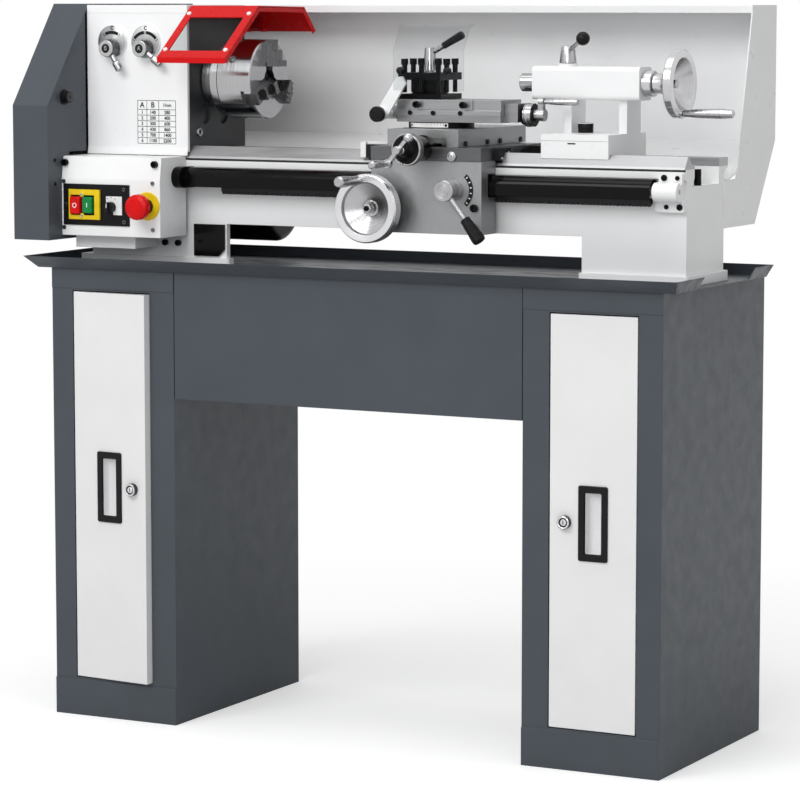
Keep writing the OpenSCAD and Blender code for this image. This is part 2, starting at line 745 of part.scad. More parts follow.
module motor() {
    r = motor_d / 2;
    color("#1f2123") place() difference() {
        union() {
            turned_x(motor_x0, motor_y, motor_z) {
                square([r, motor_l - 14]);
                square([r - 14, motor_l]);
                translate([r - 14, motor_l - 14]) circle(14);
            }
            box(motor_x0 + 40, motor_x0 + 160, rear_wall_y + 0.2, motor_y - r + 14, motor_z - 16,
                motor_z + 16);
            box(motor_x0 + 34, motor_x0 + 166, rear_wall_y + 0.2, rear_wall_y + 8, bed_bottom + 2,
                motor_z + 44);
        }
        bar_x(motor_x0 - 1, motor_x0 + 22, motor_y, motor_z, 9 + run_c);
    }
}

// Swinging cover over the change gears
function cover_line(t) = let (k = cover_top - 158, y = bed_y0 + 4, s = 158 / (y - cover_y0),
    v = t * sqrt(1 + s * s))
    [[cover_y0 + t, box_z0 - 7 + t], [cover_y0 + t, k + t * s - v],
    [cover_y0 + (158 + v - t) / s, cover_top - t], [cover_back - t, cover_top - t],
    [cover_back - t, box_z0 - 7 + t]];
cover_back = bed_y1 + 159;
module gear_cover() {
    color("#4d5359") place() difference() {
        union() {
            difference() {
                along_x(cover_x0, cover_x1) polygon(cover_line(0));
                along_x(cover_x0 + 2, cover_x1 + 1) polygon(cover_line(2));
            }
            intersection() {
                along_x(cover_x1 - 2, cover_x1) polygon(cover_line(1));
                box(cover_x0, cover_x1 + 1, cover_y0, bed_y0 - 6, 0, cover_top);
            }
        }
        box(cover_x1 - 3, cover_x1 + 1, screw_y - 46, bed_y0, screw_z - 42, screw_z + 40);
        bar_x(cover_x1 - 3, cover_x1 + 1, cover_y0 + 47, axis_z - 28, 5 + run_c);
    }
}
module cover_knob() {
    color("#232425") place() {
        bar_x(cover_x1 - 12, cover_x1 + 3, cover_y0 + 47, axis_z - 28, 5);
        bar_x(cover_x1 + eps, cover_x1 + 2.5, cover_y0 + 47, axis_z - 28, 12);
        bar_x(cover_x1 + 2, cover_x1 + 11, cover_y0 + 47, axis_z - 28, 9);
        box(cover_x1 - 14, cover_x1 - 11, cover_y0 + 41, cover_y0 + 53, axis_z - 33, axis_z - 23);
    }
}

// Lever on a round hub; the finger points along dir from the hub in the front view
module speed_lever(x, dir, reach) {
    color("#b3b6b8") place() {
        bar_y(bed_y0 - 24, bed_y0 - 4.3, x, lever_z, 11.5);
        bar_y(bed_y0 - 5, head_y0 + head_wall + 6, x, lever_z, 7);
        translate([x, bed_y0 - 10, lever_z]) rotate([90, 0, 0]) rotate(dir) linear_extrude(11) {
            polygon([[0, -9], [reach, -5], [reach, 5], [0, 9]]);
            translate([reach, 0]) circle(6);
        }
    }
}
module speed_lever_a() { speed_lever(lever_x()[1], -36, 39); }
module speed_lever_b() { speed_lever(lever_x()[0], -58, 36); }

// ---- Chuck and its guard ----

guard_x0 = head_x1 + 2;
guard_x1 = guard_x0 + guard_l - 2;
guard_pts = [[cover_y0 + 23, head_top - 75.5], [cover_y0 + 23, head_top - 67.5],
    [bed_y0 + 10, head_top + 11], [head_y1 - 25, head_top + 9], [head_y1 + 11.5, head_top - 28.5]];
slope = atan2(guard_pts[2][1] - guard_pts[1][1], guard_pts[2][0] - guard_pts[1][0]);
module on_slope() { translate([0, guard_pts[1][0], guard_pts[1][1]]) rotate([slope, 0, 0]) children(); }
function lip_pts() = [for (i = [0 : 4]) guard_pts[i] + [[4, 1], [4, -2], [1.5, -5], [-1.5, -5],
    [-4, -2]][i]];
module chuck_guard() {
    color("#c4201e") place() difference() {
        union() {
            along_x(guard_x0, guard_x1) fold(guard_pts, 2);
            along_x(guard_x1 - 2, guard_x1) fold(lip_pts(), 6);
            for (x = [guard_x0 + 6, guard_x0 + 34]) {
                bar_x(x, x + 8, pivot_y, pivot_z, 9);
                along_x(x, x + 8) polygon([[pivot_y - 6, pivot_z], [pivot_y + 2, pivot_z - 6],
                    [head_y1 - 0.5, head_top - 17], [head_y1 - 12, head_top - 5]]);
            }
        }
        bar_x(guard_x0 - 1, guard_x0 + 46, pivot_y, pivot_z, 5 + run_c);
        on_slope() box(guard_x0 + 12.5, guard_x1 - 14, 17, 101, -10, 10);
        on_slope() for (x = rivet_x(), y = rivet_s) bar_z(-10, 10, x, y, 2 + run_c);
    }
}
function rivet_x() = [guard_x0 + 6.5, guard_x1 - 8];
rivet_s = [18.5, 109];

// Clear pane under the sloping panel with its four rivets
module guard_window() {
    color("#dfe6e8") place() on_slope() {
        box(guard_x0 + 2.5, guard_x1 - 4, 8, 115, -3.2, -1.2);
        for (x = rivet_x(), y = rivet_s) {
            bar_z(-2, 1.2, x, y, 2);
            bar_z(1.1, 2.6, x, y, 3.4);
        }
    }
}

// Chuck body with three slots, and the plate behind it
module jaw_frame(i) { translate([0, axis_y, axis_z]) rotate([i * 120, 0, 0]) children(); }
module chuck_body() {
    r = chuck_d / 2;
    color("#b9bcbe") place() difference() {
        turned_x(chuck_x0, axis_y, axis_z) polygon([[chuck_bore_d / 2, 0], [r - 3, 0], [r, 3],
            [r, chuck_l - 2], [r - 2, chuck_l], [chuck_bore_d / 2, chuck_l]]);
        for (i = [0 : 2]) jaw_frame(i) {
            box(chuck_x1 - jaw_depth, chuck_x1 + 1, -jaw_w / 2 - slide_c, jaw_w / 2 + slide_c,
                0, r + 1);
            box(chuck_x1 - jaw_depth, chuck_x1 - jaw_depth + 6, -jaw_w / 2 - 4 - slide_c,
                jaw_w / 2 + 4 + slide_c, 0, r + 1);
        }
        for (i = [0 : 2]) rotate_about_axis(i * 120 + 60)
            bar_z(r - 8, r + 1, (chuck_x0 + chuck_x1) / 2 - 4, 0, 6);
    }
    color("#3c3e40") place() difference() {
        bar_x(back_x, chuck_x0 - eps, axis_y, axis_z, r - 3);
        bar_x(back_x - 1, chuck_x0 + 1, axis_y, axis_z, spindle_r + run_c);
    }
}
module rotate_about_axis(a) { translate([0, axis_y, axis_z]) rotate([a, 0, 0]) children(); }

// Stepped jaw: slides in its slot, towards the axis
module jaw(i) {
    x0 = chuck_x1 - jaw_depth + slide_c;
    w = jaw_w / 2;
    color("#9a9da0") place() jaw_frame(i) {
        box(x0, x0 + 6 - 2 * slide_c, -w - 4, w + 4, jaw_open + 12, jaw_open + jaw_l - 4);
        rotate([90, 0, 0]) translate([0, 0, -w]) linear_extrude(2 * w) polygon([[x0, jaw_open + 12],
            [x0, jaw_open + jaw_l], [chuck_x1 + 10, jaw_open + jaw_l], [chuck_x1 + 10, jaw_open + 32],
            [chuck_x1 + 18, jaw_open + 32], [chuck_x1 + 18, jaw_open + 16], [chuck_x1 + 26, jaw_open + 16],
            [chuck_x1 + 26, jaw_open + 6], [chuck_x1 + 1, jaw_open + 6], [chuck_x1 + 1, jaw_open + 12]]);
    }
}
module chuck_jaw_1() { jaw(0); }
module chuck_jaw_2() { jaw(1); }
module chuck_jaw_3() { jaw(2); }

// ---- Controls ----

plate_x0 = box_x0 + 3;
plate_z0 = box_z0 + 16;
module control_box() {
    x1 = box_x0 + box_w;
    y1 = bed_y0 - 0.3;
    fold_z = box_z0 + 89;
    color("#ececec") place() difference() {
        along_x(box_x0, x1) polygon([[box_y0, box_z0], [box_y0, fold_z], [box_y0 + 5, box_z1],
            [y1, box_z1], [y1, box_z0]]);
        along_x(box_x0 + 2, x1 - 2) polygon([[box_y0 + 2, box_z0 + 2], [box_y0 + 2, fold_z],
            [box_y0 + 6.8, box_z1 - 2], [y1 + 1, box_z1 - 2], [y1 + 1, box_z0 + 2]]);
        box(box_x0 - 1, x1 + 1, screw_y - 14, y1 + 1, screw_z - 14, screw_z + 14);
        box(plate_x0 + 12, plate_x0 + 56, box_y0 - 1, box_y0 + 3, plate_z0 + 14, plate_z0 + 48);
        bar_y(box_y0 - 1, box_y0 + 3, plate_x0 + 91, plate_z0 + 30, 6);
        bar_y(box_y0 - 1, box_y0 + 3, estop_x, estop_z, 12);
    }
}
stop_box = [plate_x0 + 14.5, plate_x0 + 31.5, plate_z0 + 17, plate_z0 + 45];
start_box = [plate_x0 + 35, plate_x0 + 54, plate_z0 + 19, plate_z0 + 44];
module button_hole(b, y0) {
    box(b[0] - slide_c, b[1] + slide_c, y0, box_y0 + 1, b[2] - slide_c, b[3] + slide_c);
}

// Black plate, yellow switch body, selector plate and the ring of the emergency stop
module switch_plate() {
    y0 = box_y0 - 2.5;
    color("#232425") place() {
        difference() {
            box(plate_x0, plate_x0 + 123, y0, box_y0 - eps, plate_z0, plate_z0 + 65);
            button_hole(stop_box, y0 - 1);
            button_hole(start_box, y0 - 1);
            bar_y(y0 - 1, box_y0 + 1, plate_x0 + 91, plate_z0 + 30, 4 + run_c);
        }
        difference() {
            box(plate_x0 + 10, plate_x0 + 69, y0 - 4, y0 - eps, plate_z0 + 8, plate_z0 + 56);
            button_hole(stop_box, y0 - 5);
            button_hole(start_box, y0 - 5);
        }
        difference() {
            box(plate_x0 + 80, plate_x0 + 109, y0 - 1.2, y0 - eps, plate_z0 + 16.5, plate_z0 + 47);
            bar_y(y0 - 2, y0 + 1, plate_x0 + 91, plate_z0 + 30, 4 + run_c);
        }
        difference() {
            bar_y(box_y0 - 3, box_y0 - eps, estop_x, estop_z, 22);
            bar_y(box_y0 - 4, box_y0 + 1, estop_x, estop_z, 11 + run_c);
        }
    }
}
module push_button(b, proud) {
    box(b[0], b[1], box_y0 - 6.5 - proud, box_y0 + 6, b[2], b[3]);
}
module stop_button() { color("#b3201d") place() push_button(stop_box, 6); }
module start_button() { color("#3f7a46") place() push_button(start_box, 4.5); }
module selector_knob() {
    x = plate_x0 + 91;
    z = plate_z0 + 30;
    color("#1d1e1f") place() {
        bar_y(box_y0 - 14, box_y0 - 4, x, z, 8.5);
        bar_y(box_y0 - 5, box_y0 + 16, x, z, 4);
        box(x - 2.5, x + 2.5, box_y0 - 19, box_y0 - 13, z - 8, z + 8);
    }
}
module estop_button() {
    color("#b3201d") place() {
        turned_y(box_y0 - 40, estop_x, estop_z) polygon([[0, 0], [estop_d / 2 - 6, 1],
            [estop_d / 2 - 1, 4], [estop_d / 2, 8], [estop_d / 2, 15], [estop_d / 2 - 5, 18], [0, 18]]);
        bar_y(box_y0 - 23, box_y0 + 20, estop_x, estop_z, 11);
    }
}

// ---- Rear guard ----

module rear_guard() {
    front = guard_back - 2 - shelf_d;
    top = head_top + lid_t;
    knee = way_z + 16;
    color("#ececec") place() {
        along_x(bed_x0, bed_x1 + eps) fold([[front + 1, top - guard_lip], [front + 1, top - 1],
            [guard_back - 1, top - 1], [guard_back - 1, knee], [rear_wall_y + 1.9, way_z - 38]], 2);
        along_x(bed_x1, bed_x1 + 2) polygon([[front, top], [guard_back, top],
            [guard_back, knee + 3], [guard_back - 81, way_z - 106], [rear_wall_y - 1, way_z - 106],
            [rear_wall_y - 1, way_z - 34], [rear_wall_y + 44, way_z - 34], [front, top - guard_lip]]);
    }
}

// ---- Carriage ----

module saddle() {
    c = slide_c;
    lift = 1.6 * c;
    low = saddle_bottom;
    wiper_y = [bed_y0 - 4, bed_y0 + 34];
    profile = [[saddle_y0, low], [flank_y(low - lift), low], [crest_y - 1, crest_z + lift],
        [crest_y + 1, crest_z + lift], [back_flank_y(low - lift), low], [rear_wall_y - bed_wall - 3, low],
        [rear_wall_y - bed_wall - 3, way_z + c], [saddle_y1, way_z + c], [saddle_y1, saddle_top],
        [saddle_y0, saddle_top]];
    color("#9b9ea1") place() difference() {
        union() {
            along_x(saddle_x, saddle_x1) polygon(profile);
            intersection() {
                along_x(saddle_x - 34, saddle_x + 1) polygon(profile);
                box(saddle_x - 34, saddle_x + 1, wiper_y[0], wiper_y[1], 0, saddle_top);
            }
            bar_y(saddle_y0 - 4, saddle_y0 + 6, cross_axis_x, cross_axis_z, 14);
            bar_y(saddle_y0 - 1, saddle_y0 + 6, saddle_x + 137, saddle_bottom + 7, 5);
        }
        box(cross_axis_x - 7, cross_axis_x + 7, saddle_y0 + 6, saddle_y1 - 40,
            cross_axis_z - 5.3, saddle_top + 1);
        bar_y(saddle_y0 - 5, saddle_y0 + 7, cross_axis_x, cross_axis_z, 5 + run_c);
        box(cross_axis_x - 40, cross_axis_x + 40, saddle_y0 + 6.1, saddle_y0 + 7, saddle_top, way_z + 60);
    }
    color("#232425") place() {
        intersection() {
            along_x(saddle_x1 + eps, saddle_x1 + 8) polygon(profile);
            box(saddle_x1, saddle_x1 + 9, wiper_y[0], wiper_y[1], 0, saddle_top - 2);
        }
        box(saddle_x1 + eps, saddle_x1 + 28, bed_y1 - 50, bed_y1 - 4, way_z + c, way_z + 13);
    }
}
module apron() {
    y0 = apron_y0;
    y1 = bed_y0 - 2;
    z0 = apron_top - apron_h;
    g0 = screw_y - 18;
    color("#a7aaac") place() {
        difference() {
            along_x(saddle_x, saddle_x1) polygon([[y0, z0], [y1, z0], [y1, screw_z - 15], [g0, screw_z - 15],
                [g0, screw_z + 20], [y1, screw_z + 20], [y1, apron_top], [y0, apron_top]]);
            bar_y(y0 - 1, y1 + 1, wheel_x, wheel_z, 8 + run_c);
            bar_y(y0 - 1, g0 + 1, nut_lever_x, nut_lever_z, 8 + run_c);
            box(nut_lever_x - 20.3, nut_lever_x + 20.3, screw_y - 14.3, y1 + 1, screw_z - 33, screw_z - 14);
        }
        for (p = [[saddle_x + 174, way_z - 74], [saddle_x + 172, way_z - 105]])
            translate([p[0], y0 - eps, p[1]]) rotate([90, 0, 0]) difference() {
                cylinder(h = 5, r = 6);
                translate([0, 0, 2.5]) cylinder(h = 3, r = 3.2, $fn = 6);
            }
    }
}

// Dished handwheel on its shaft, with the pinion that runs on the rack
module carriage_wheel() {
    r = wheel_d / 2;
    y0 = apron_y0 - 45;
    a = wheel_grip_dir();
    color("#b3b6b8") place() {
        turned_y(y0, wheel_x, wheel_z) polygon([[0, 14], [9, 14], [9, 21], [12, 22], [r - 14, 7],
            [r - 12, 1], [r - 2, 0], [r, 3], [r, 18], [r - 2, 20], [r - 9, 20], [24, 30], [20, 31],
            [20, 42], [0, 42]]);
        bar_y(y0 - 56, y0 + 5, wheel_x + a[0], wheel_z + a[1], 2.5);
        bar_y(y0 + 41, bed_y0 - 0.5, wheel_x, wheel_z, 8);
        translate([wheel_x, front_wall_y - 1.5, wheel_z]) rotate([90, 0, 0])
            gear(rack_teeth, rack_m, 9, 4, 90 + 180 / rack_teeth);
        bar_y(bed_y0 - 1, front_wall_y - 1.5, wheel_x, wheel_z, 4.5);
    }
}
function wheel_grip_dir() = [-0.25 * (wheel_d / 2 - 8), 0.96 * (wheel_d / 2 - 8)];

// Turned grip on its pin, along -Y
module grip_y(y1, len, x, z, r) {
    turned_y(y1 - len, x, z) difference() {
        polygon([[0, 0], [r - 2, 0], [r, 3], [r, len * 0.3], [r - 1.5, len * 0.7], [r - 2, len], [0, len]]);
        translate([0, 4]) square([2.5 + run_c, len]);
    }
}
module carriage_grip() {
    a = wheel_grip_dir();
    y0 = apron_y0 - 45;
    color("#c3c5c7") place() grip_y(y0 - 0.3, 62, wheel_x + a[0], wheel_z + a[1], 8.5);
}

// Nut that closes on the leadscrew from below
module half_nut() {
    color("#b08d4c") place() difference() {
        box(nut_lever_x - 20, nut_lever_x + 20, screw_y - 13, screw_y + 7.5, screw_z - 33, screw_z - 14.5);
        bar_x(nut_lever_x - 21, nut_lever_x + 21, screw_y, screw_z - 5, screw_r + 0.6);
    }
}
module half_nut_lever() {
    a = -52;
    y0 = apron_y0 - 36;
    color("#b3b6b8") place() {
        bar_y(y0, apron_y0 - 0.3, nut_lever_x, nut_lever_z, 16);
        bar_y(apron_y0 - 1, apron_y0 + 16, nut_lever_x, nut_lever_z, 8);
        translate([nut_lever_x, y0 + 9, nut_lever_z]) rotate([0, -a, 0]) {
            rotate([0, 90, 0]) cylinder(h = 75, r = 4);
            translate([52, 0, 0]) rotate([0, 90, 0]) cylinder(h = 42, r = 10.5);
        }
    }
}
module cross_slide() {
    x1 = cross_x0 + cross_w;
    y1 = cross_y0 + cross_l;
    color("#a2a5a8") place() {
        difference() {
            box(cross_x0, x1, cross_y0, y1, cross_z0, cross_z1);
            box(x1 - 91, x1 - 20, cross_y0 - 1, cross_y0 + 48, cross_z0 - 1, cross_z0 + 12.8);
            bar_y(cross_y0 - 1, cross_y0 + 48, cross_axis_x, cross_axis_z, sleeve_d / 2 + 2 * slide_c);
            box(cross_axis_x - 7, cross_axis_x + 7, cross_y0 + 47, y1 - 30, cross_z0 - 1, cross_axis_z + 5.5);
        }
        for (y = [24, 98, 142, 214]) bar_x(x1 + eps, x1 + 2, cross_y0 + y, cross_z0 + 5, 4);
    }
}
module cross_crank() {
    y0 = saddle_y0;
    tip = cross_tip();
    color("#b3b6b8") place() {
        bar_y(y0 - 60, y0 + 170, cross_axis_x, cross_axis_z, 5);
        turned_y(y0 - 80, cross_axis_x, cross_axis_z) polygon([[0, 0], [5.5, 0], [6, 0.5], [6, 12],
            [8, 15], [11, 26], [15, 33], [20.5, 33], [22, 31.5], [23.5, 31.5], [24, 32], [24, 44],
            [sleeve_d / 2, 44], [sleeve_d / 2, 75.8], [0, 75.8]]);
        translate([cross_axis_x, y0 - 68, cross_axis_z]) rotate([90, 0, 0])
            rotate(atan2(tip[1], tip[0])) linear_extrude(7) {
                translate([-cross_throw + 2, -2.8]) square([2 * cross_throw - 2, 5.6]);
                translate([cross_throw, 0]) circle(6.5);
            }
        translate([cross_axis_x, y0 - 71.5, cross_axis_z]) rotate([0, atan2(-tip[1], tip[0]), 0])
            translate([-cross_throw + 2, 0, 0]) sphere(7.5);
        bar_y(y0 - 120, y0 - 74, cross_axis_x + tip[0], cross_axis_z + tip[1], 2.5);
    }
}
function cross_tip() = [-0.66 * cross_throw, -0.75 * cross_throw];
module cross_grip() {
    y1 = saddle_y0 - 75.3;
    color("#c3c5c7") place()
        grip_y(y1, 50, cross_axis_x + cross_tip()[0], cross_axis_z + cross_tip()[1], 6);
}
module swivel_base() {
    x1 = top_x0 + top_l;
    color("#232425") place() bar_z(swivel_z0, swivel_z1 - eps, swivel_x, swivel_y, swivel_d / 2);
    color("#9b9ea1") place() difference() {
        union() {
            box(top_x0, x1, top_y0, top_y0 + top_d, top_z0, gib_z);
            box(x1 - eps, x1 + 22, top_y0 + 14, top_y0 + top_d - 14, top_z0 + 1, top_z0 + 29);
        }
        box(top_x0 + 25, x1 - 1, swivel_y - 7, swivel_y + 7, top_axis_z - 5.5, gib_z + 1);
        bar_x(x1 - 2, x1 + 29, swivel_y, top_axis_z, 5 + run_c);
    }
    color("#232425") place() difference() {
        bar_x(x1 + 22 + eps, x1 + 27, swivel_y, top_axis_z, 15);
        bar_x(x1 + 21, x1 + 28, swivel_y, top_axis_z, 5 + run_c);
    }
}
module top_slide() {
    x1 = top_x0 + top_l - slide_c;
    color("#a2a5a8") place() {
        difference() {
            box(top_x0, x1, top_y0, top_y0 + top_d, gib_z + slide_c, top_z1);
            box(top_x0 + 25, x1 + 1, swivel_y - 7, swivel_y + 7, gib_z, top_axis_z + 5.5);
            box(top_x0 - 1, x1 + 1, top_y0 - 1, top_y0 + 1, gib_z + 8, gib_z + 9);
            box(top_x0 + 128, x1 + 1, top_y0 - 1, top_y0 + 2.5, gib_z + 8.5, top_z1 + 1);
        }
        difference() {
            union() {
                box(post_x0 - 24, top_x0 - eps, post_y0 + 2, post_y0 + 13, gib_z + 1, gib_z + 14);
                box(post_x0 - 24, top_x0 - 3, post_y0 + 2, post_y0 + 13, gib_z - 6, gib_z + 2);
            }
            bar_y(post_y0, post_y0 + 15, post_x0 - 14, top_z1 - 22, 4 + run_c);
        }
        for (x = [23, 62, 108]) bar_y(top_y0 - 2, top_y0 - eps, top_x0 + x, gib_z + 4, 3.5);
        for (x = [36, 115]) difference() {
            bar_y(top_y0 - 9, top_y0 - eps, top_x0 + x, gib_z + 16.5, 5.2);
            bar_y(top_y0 - 10, top_y0 - 5, top_x0 + x, gib_z + 16.5, 3);
        }
    }
}
module top_crank() {
    x1 = top_x0 + top_l + 27;
    color("#b3b6b8") place() {
        bar_x(top_x0 + 60, x1 + 20, swivel_y, top_axis_z, 5);
        bar_x(x1 + slide_c, x1 + 13, swivel_y, top_axis_z, 17.5);
        bar_x(x1 + 12, x1 + 30, swivel_y, top_axis_z, 9);
        translate([x1 + 20, swivel_y, top_axis_z]) rotate([0, 90, 0]) rotate(top_dir())
            linear_extrude(8) {
                translate([0, -5]) square([top_throw, 10]);
                translate([top_throw, 0]) circle(6);
            }
        bar_x(x1 + 26, x1 + 70, swivel_y, top_axis_z + top_throw, 2);
    }
}
function top_dir() = 180;
module top_grip() {
    x0 = top_x0 + top_l + 55.3;
    z = top_axis_z + top_throw;
    color("#c3c5c7") place() difference() {
        turned_x(x0, swivel_y, z) polygon([[0, 0], [3, 0], [4.5, 18], [5.2, 45], [4, 55], [0, 55]]);
        bar_x(x0 - 1, x0 + 45, swivel_y, z, 2 + run_c);
    }
}
module tool_post() {
    z = top_z1 + eps;
    color("#232425") place() {
        difference() {
            union() {
                box(post_x0, post_x0 + post_w, post_y0, post_y0 + post_w, z, z + 8);
                box(post_x - 20, post_x + 20, post_y - 20, post_y + 20, z + 7, post_z1 - 10);
                box(post_x0, post_x0 + post_w, post_y0, post_y0 + post_w, post_z1 - 11, post_z1);
            }
            bar_z(z - 1, post_z1 + 1, post_x, post_y, 7 + run_c);
        }
        for (p = post_screws()) {
            bar_z(post_z1 + eps, post_z1 + 12, p[0], p[1], 4);
            bar_z(post_z1 + 11.9, post_z1 + 21, p[0], p[1], 5.5);
            bar_z(z + 10, post_z1 - 11 - eps, p[0], p[1], 3.5);
        }
    }
}
function post_screws() = [for (i = [-1, 0, 1], j = [-1, 0, 1]) if (i != 0 || j != 0)
    [post_x + i * 28.5, post_y + j * 28.5]];
module tool_post_lever() {
    color("#b3b6b8") place() {
        bar_z(top_z1 + 0.3, post_z1 + 10, post_x, post_y, 7);
        translate([post_x, post_y, post_z1 + 3]) cylinder(h = 32, r1 = 10.5, r2 = 8);
        translate([post_x, post_y, post_z1 + 28]) rotate([0, 62, 0]) cylinder(h = 60, r = 4);
        translate([post_x, post_y, post_z1 + 28]) rotate([0, 62, 0]) translate([0, 0, 28])
            cylinder(h = 36, r = 6.5);
    }
}

// Clear shield in front of the tool post, with its white arm
module tool_shield() {
    x0 = post_x0 + 7;
    x1 = post_x0 + 125;
    z0 = top_z1 + 14;
    color("#dfe6e8") place() {
        along_x(x0, x1) fold([[post_y0 - 28, z0], [post_y0 - 28, z0 + 60],
            [post_y0 - 6, z0 + 96], [post_y0 + 8, z0 + 98]], 3);
        for (p = [[14, 30], [93, 30]]) bar_y(post_y0 - 36, post_y0 - 29.5 - eps, x0 + p[0], z0 + p[1], 5);
    }
}
module shield_arm() {
    x0 = post_x0 + 7;
    y0 = post_y0 - 26.3;
    z0 = top_z1 + 14;
    color("#ececec") place() {
        along_y(y0, y0 + 4) polygon([[x0 + 4, z0 + 20], [x0 + 14, z0 + 21], [x0 + 20, z0 + 10],
            [x0 - 13, z0 - 41], [x0 - 22, z0 - 45], [x0 - 30, z0 - 38], [x0 - 29, z0 - 30]]);
        bar_y(y0 - 10, y0 + 0.5, x0 - 21, z0 - 36, 10);
        bar_y(y0 + 3, post_y0 + 1.8, x0 - 21, z0 - 36, 6);
        bar_y(y0 + 3, post_y0 + 16, x0 - 21, z0 - 36, 4);
    }
}

// ---- Tailstock ----

module tailstock() {
    c = slide_c;
    x0 = tail_x;
    b = barrel_d / 2;
    foot_z = tail_split + eps;
    color("#ececec") place() {
        along_x(x0, tail_x1) polygon(concat(underside(tail_y0, c), [[tail_y1, way_z + c],
            [tail_y1, tail_split], [tail_y0, tail_split]]));
        difference() {
            union() {
                box(x0, tail_x1, tail_y0, tail_y1, foot_z, tail_top);
                for (x = [x0 + 6, tail_x1 - 13])
                    box(x, x + 13, tail_y0 + 67, tail_y1 - 20, foot_z, axis_z - b + 1);
                along_x(barrel_x0, barrel_x1) translate([axis_y - b + 2, axis_z - b])
                    round_rect(0, 2 * b - 4, 0, 2 * b, 7);
                bar_z(axis_z, axis_z + b + 4, x0 + 8, axis_y, 15);
            }
            bar_x(barrel_x0 - 1, barrel_x1 - 10, axis_y, axis_z, quill_d / 2 + run_c);
            bar_x(barrel_x1 - 11, barrel_x1 + 1, axis_y, axis_z, 8 + run_c);
            bar_z(axis_z + 8, axis_z + b + 5, x0 + 8, axis_y, 5 + run_c);
        }
        bar_z(tail_top + eps, tail_top + 15, x0 + 38, axis_y, 11.5);
    }
}
module quill() {
    x0 = barrel_x0 - quill_out;
    r = quill_d / 2;
    color("#b9bcbe") place() turned_x(x0, axis_y, axis_z) polygon([[r - 5, 0], [r - 1, 0], [r, 1],
        [r, 120], [9, 120], [9, 60], [6, 60]]);
}
module tailstock_wheel() {
    r = tail_wheel_d / 2;
    h = tail_wheel_x - barrel_x1;
    color("#b3b6b8") place() {
        turned_x(barrel_x1 + slide_c, axis_y, axis_z) polygon([[0, 0], [19.5, 0], [19.5, 15], [12, 16],
            [12, h - 8], [r - 15, h - 3], [r - 13, h - 6], [r - 1, h - 6], [r, h - 4], [r, h + 4],
            [r - 2, h + 6], [r - 14, h + 6], [r - 16, h + 2], [14, h - 1], [14, h + 8], [0, h + 8]]);
        bar_x(tail_wheel_x, tail_wheel_x + 60, axis_y, axis_z - r + 8, 3);
        bar_x(barrel_x0 + 75, barrel_x1 + 1, axis_y, axis_z, 8);
    }
}
module tailstock_grip() {
    r = tail_wheel_d / 2;
    x0 = tail_wheel_x + 6.5;
    color("#c3c5c7") place() difference() {
        turned_x(x0, axis_y, axis_z - r + 8) polygon([[0, 0], [5, 0], [6.5, 20], [7.5, 60], [6, 78],
            [3, 80], [0, 80]]);
        bar_x(x0 - 1, x0 + 60, axis_y, axis_z - r + 8, 3 + run_c);
    }
}
module quill_lock() {
    x = tail_x + 8;
    z = axis_z + barrel_d / 2;
    color("#232425") place() {
        translate([x, axis_y, z + 4.3]) cylinder(h = 26, r1 = 13, r2 = 10);
        bar_z(axis_z + quill_d / 2 + 2, z + 6, x, axis_y, 5);
        translate([x, axis_y, z + 22]) rotate([0, 72, -44]) cylinder(h = 62, r = 3.5);
        translate([x, axis_y, z + 22]) rotate([0, 72, -44]) translate([0, 0, 64]) sphere(10.5);
    }
}

// ---- Bolts and screws of the fixed parts ----

module cap_y(y, x, z, r, h) {
    translate([x, y - eps, z]) rotate([90, 0, 0]) difference() {
        cylinder(h = h, r = r);
        translate([0, 0, h * 0.5]) cylinder(h = h, r = r * 0.55, $fn = 6);
    }
}
module fasteners() {
    bolt_z = deck + 40;
    color("#232425") place() {
        for (x = [bed_x0 + 137, bed_x0 + 161]) cap_y(front_wall_y, x, bolt_z - 3, 4.8, 5);
        cap_y(front_wall_y - 4, bed_x0 + foot_left_l - 35, bolt_z + 1, 3, 1.5);
        for (x = [box_x0 + 6, box_x0 + box_w - 10]) cap_y(box_y0 + 2.3, x, box_z0 + 114, 5.5, 5);
        for (x = [box_x0 + 4.2, box_x0 + box_w - 13], z = [box_z0 + 12.2, box_z0 + 84.6])
            cap_y(box_y0, x, z, 3.2, 2);
        for (p = [[6, 33], [114, 7], [114, 58]])
            cap_y(box_y0 - 2.5, plate_x0 + p[0], plate_z0 + p[1], 3, 1.5);
        for (k = [0, 1]) {
            cap_y(front_wall_y - 10, bed_x1 - 28 + k * 21, screw_z - 23, 3.4 + k * 1.2, 2);
            cap_y(bed_y0 - 9, bed_x1 - 28 + k * 21, screw_z + 20, 4.6 - k * 1.2, 2);
        }
        for (p = [[-27, 11], [-23, -7]])
            bar_x(box_x0 + box_w + 14.3 + eps, box_x0 + box_w + 15.6, screw_y + p[0], screw_z + p[1], 2.4);
        bar_z(way_z - 38 + eps, way_z - 14, bed_x1 - 6, bed_y0 + 64, 5.5);
    }
}

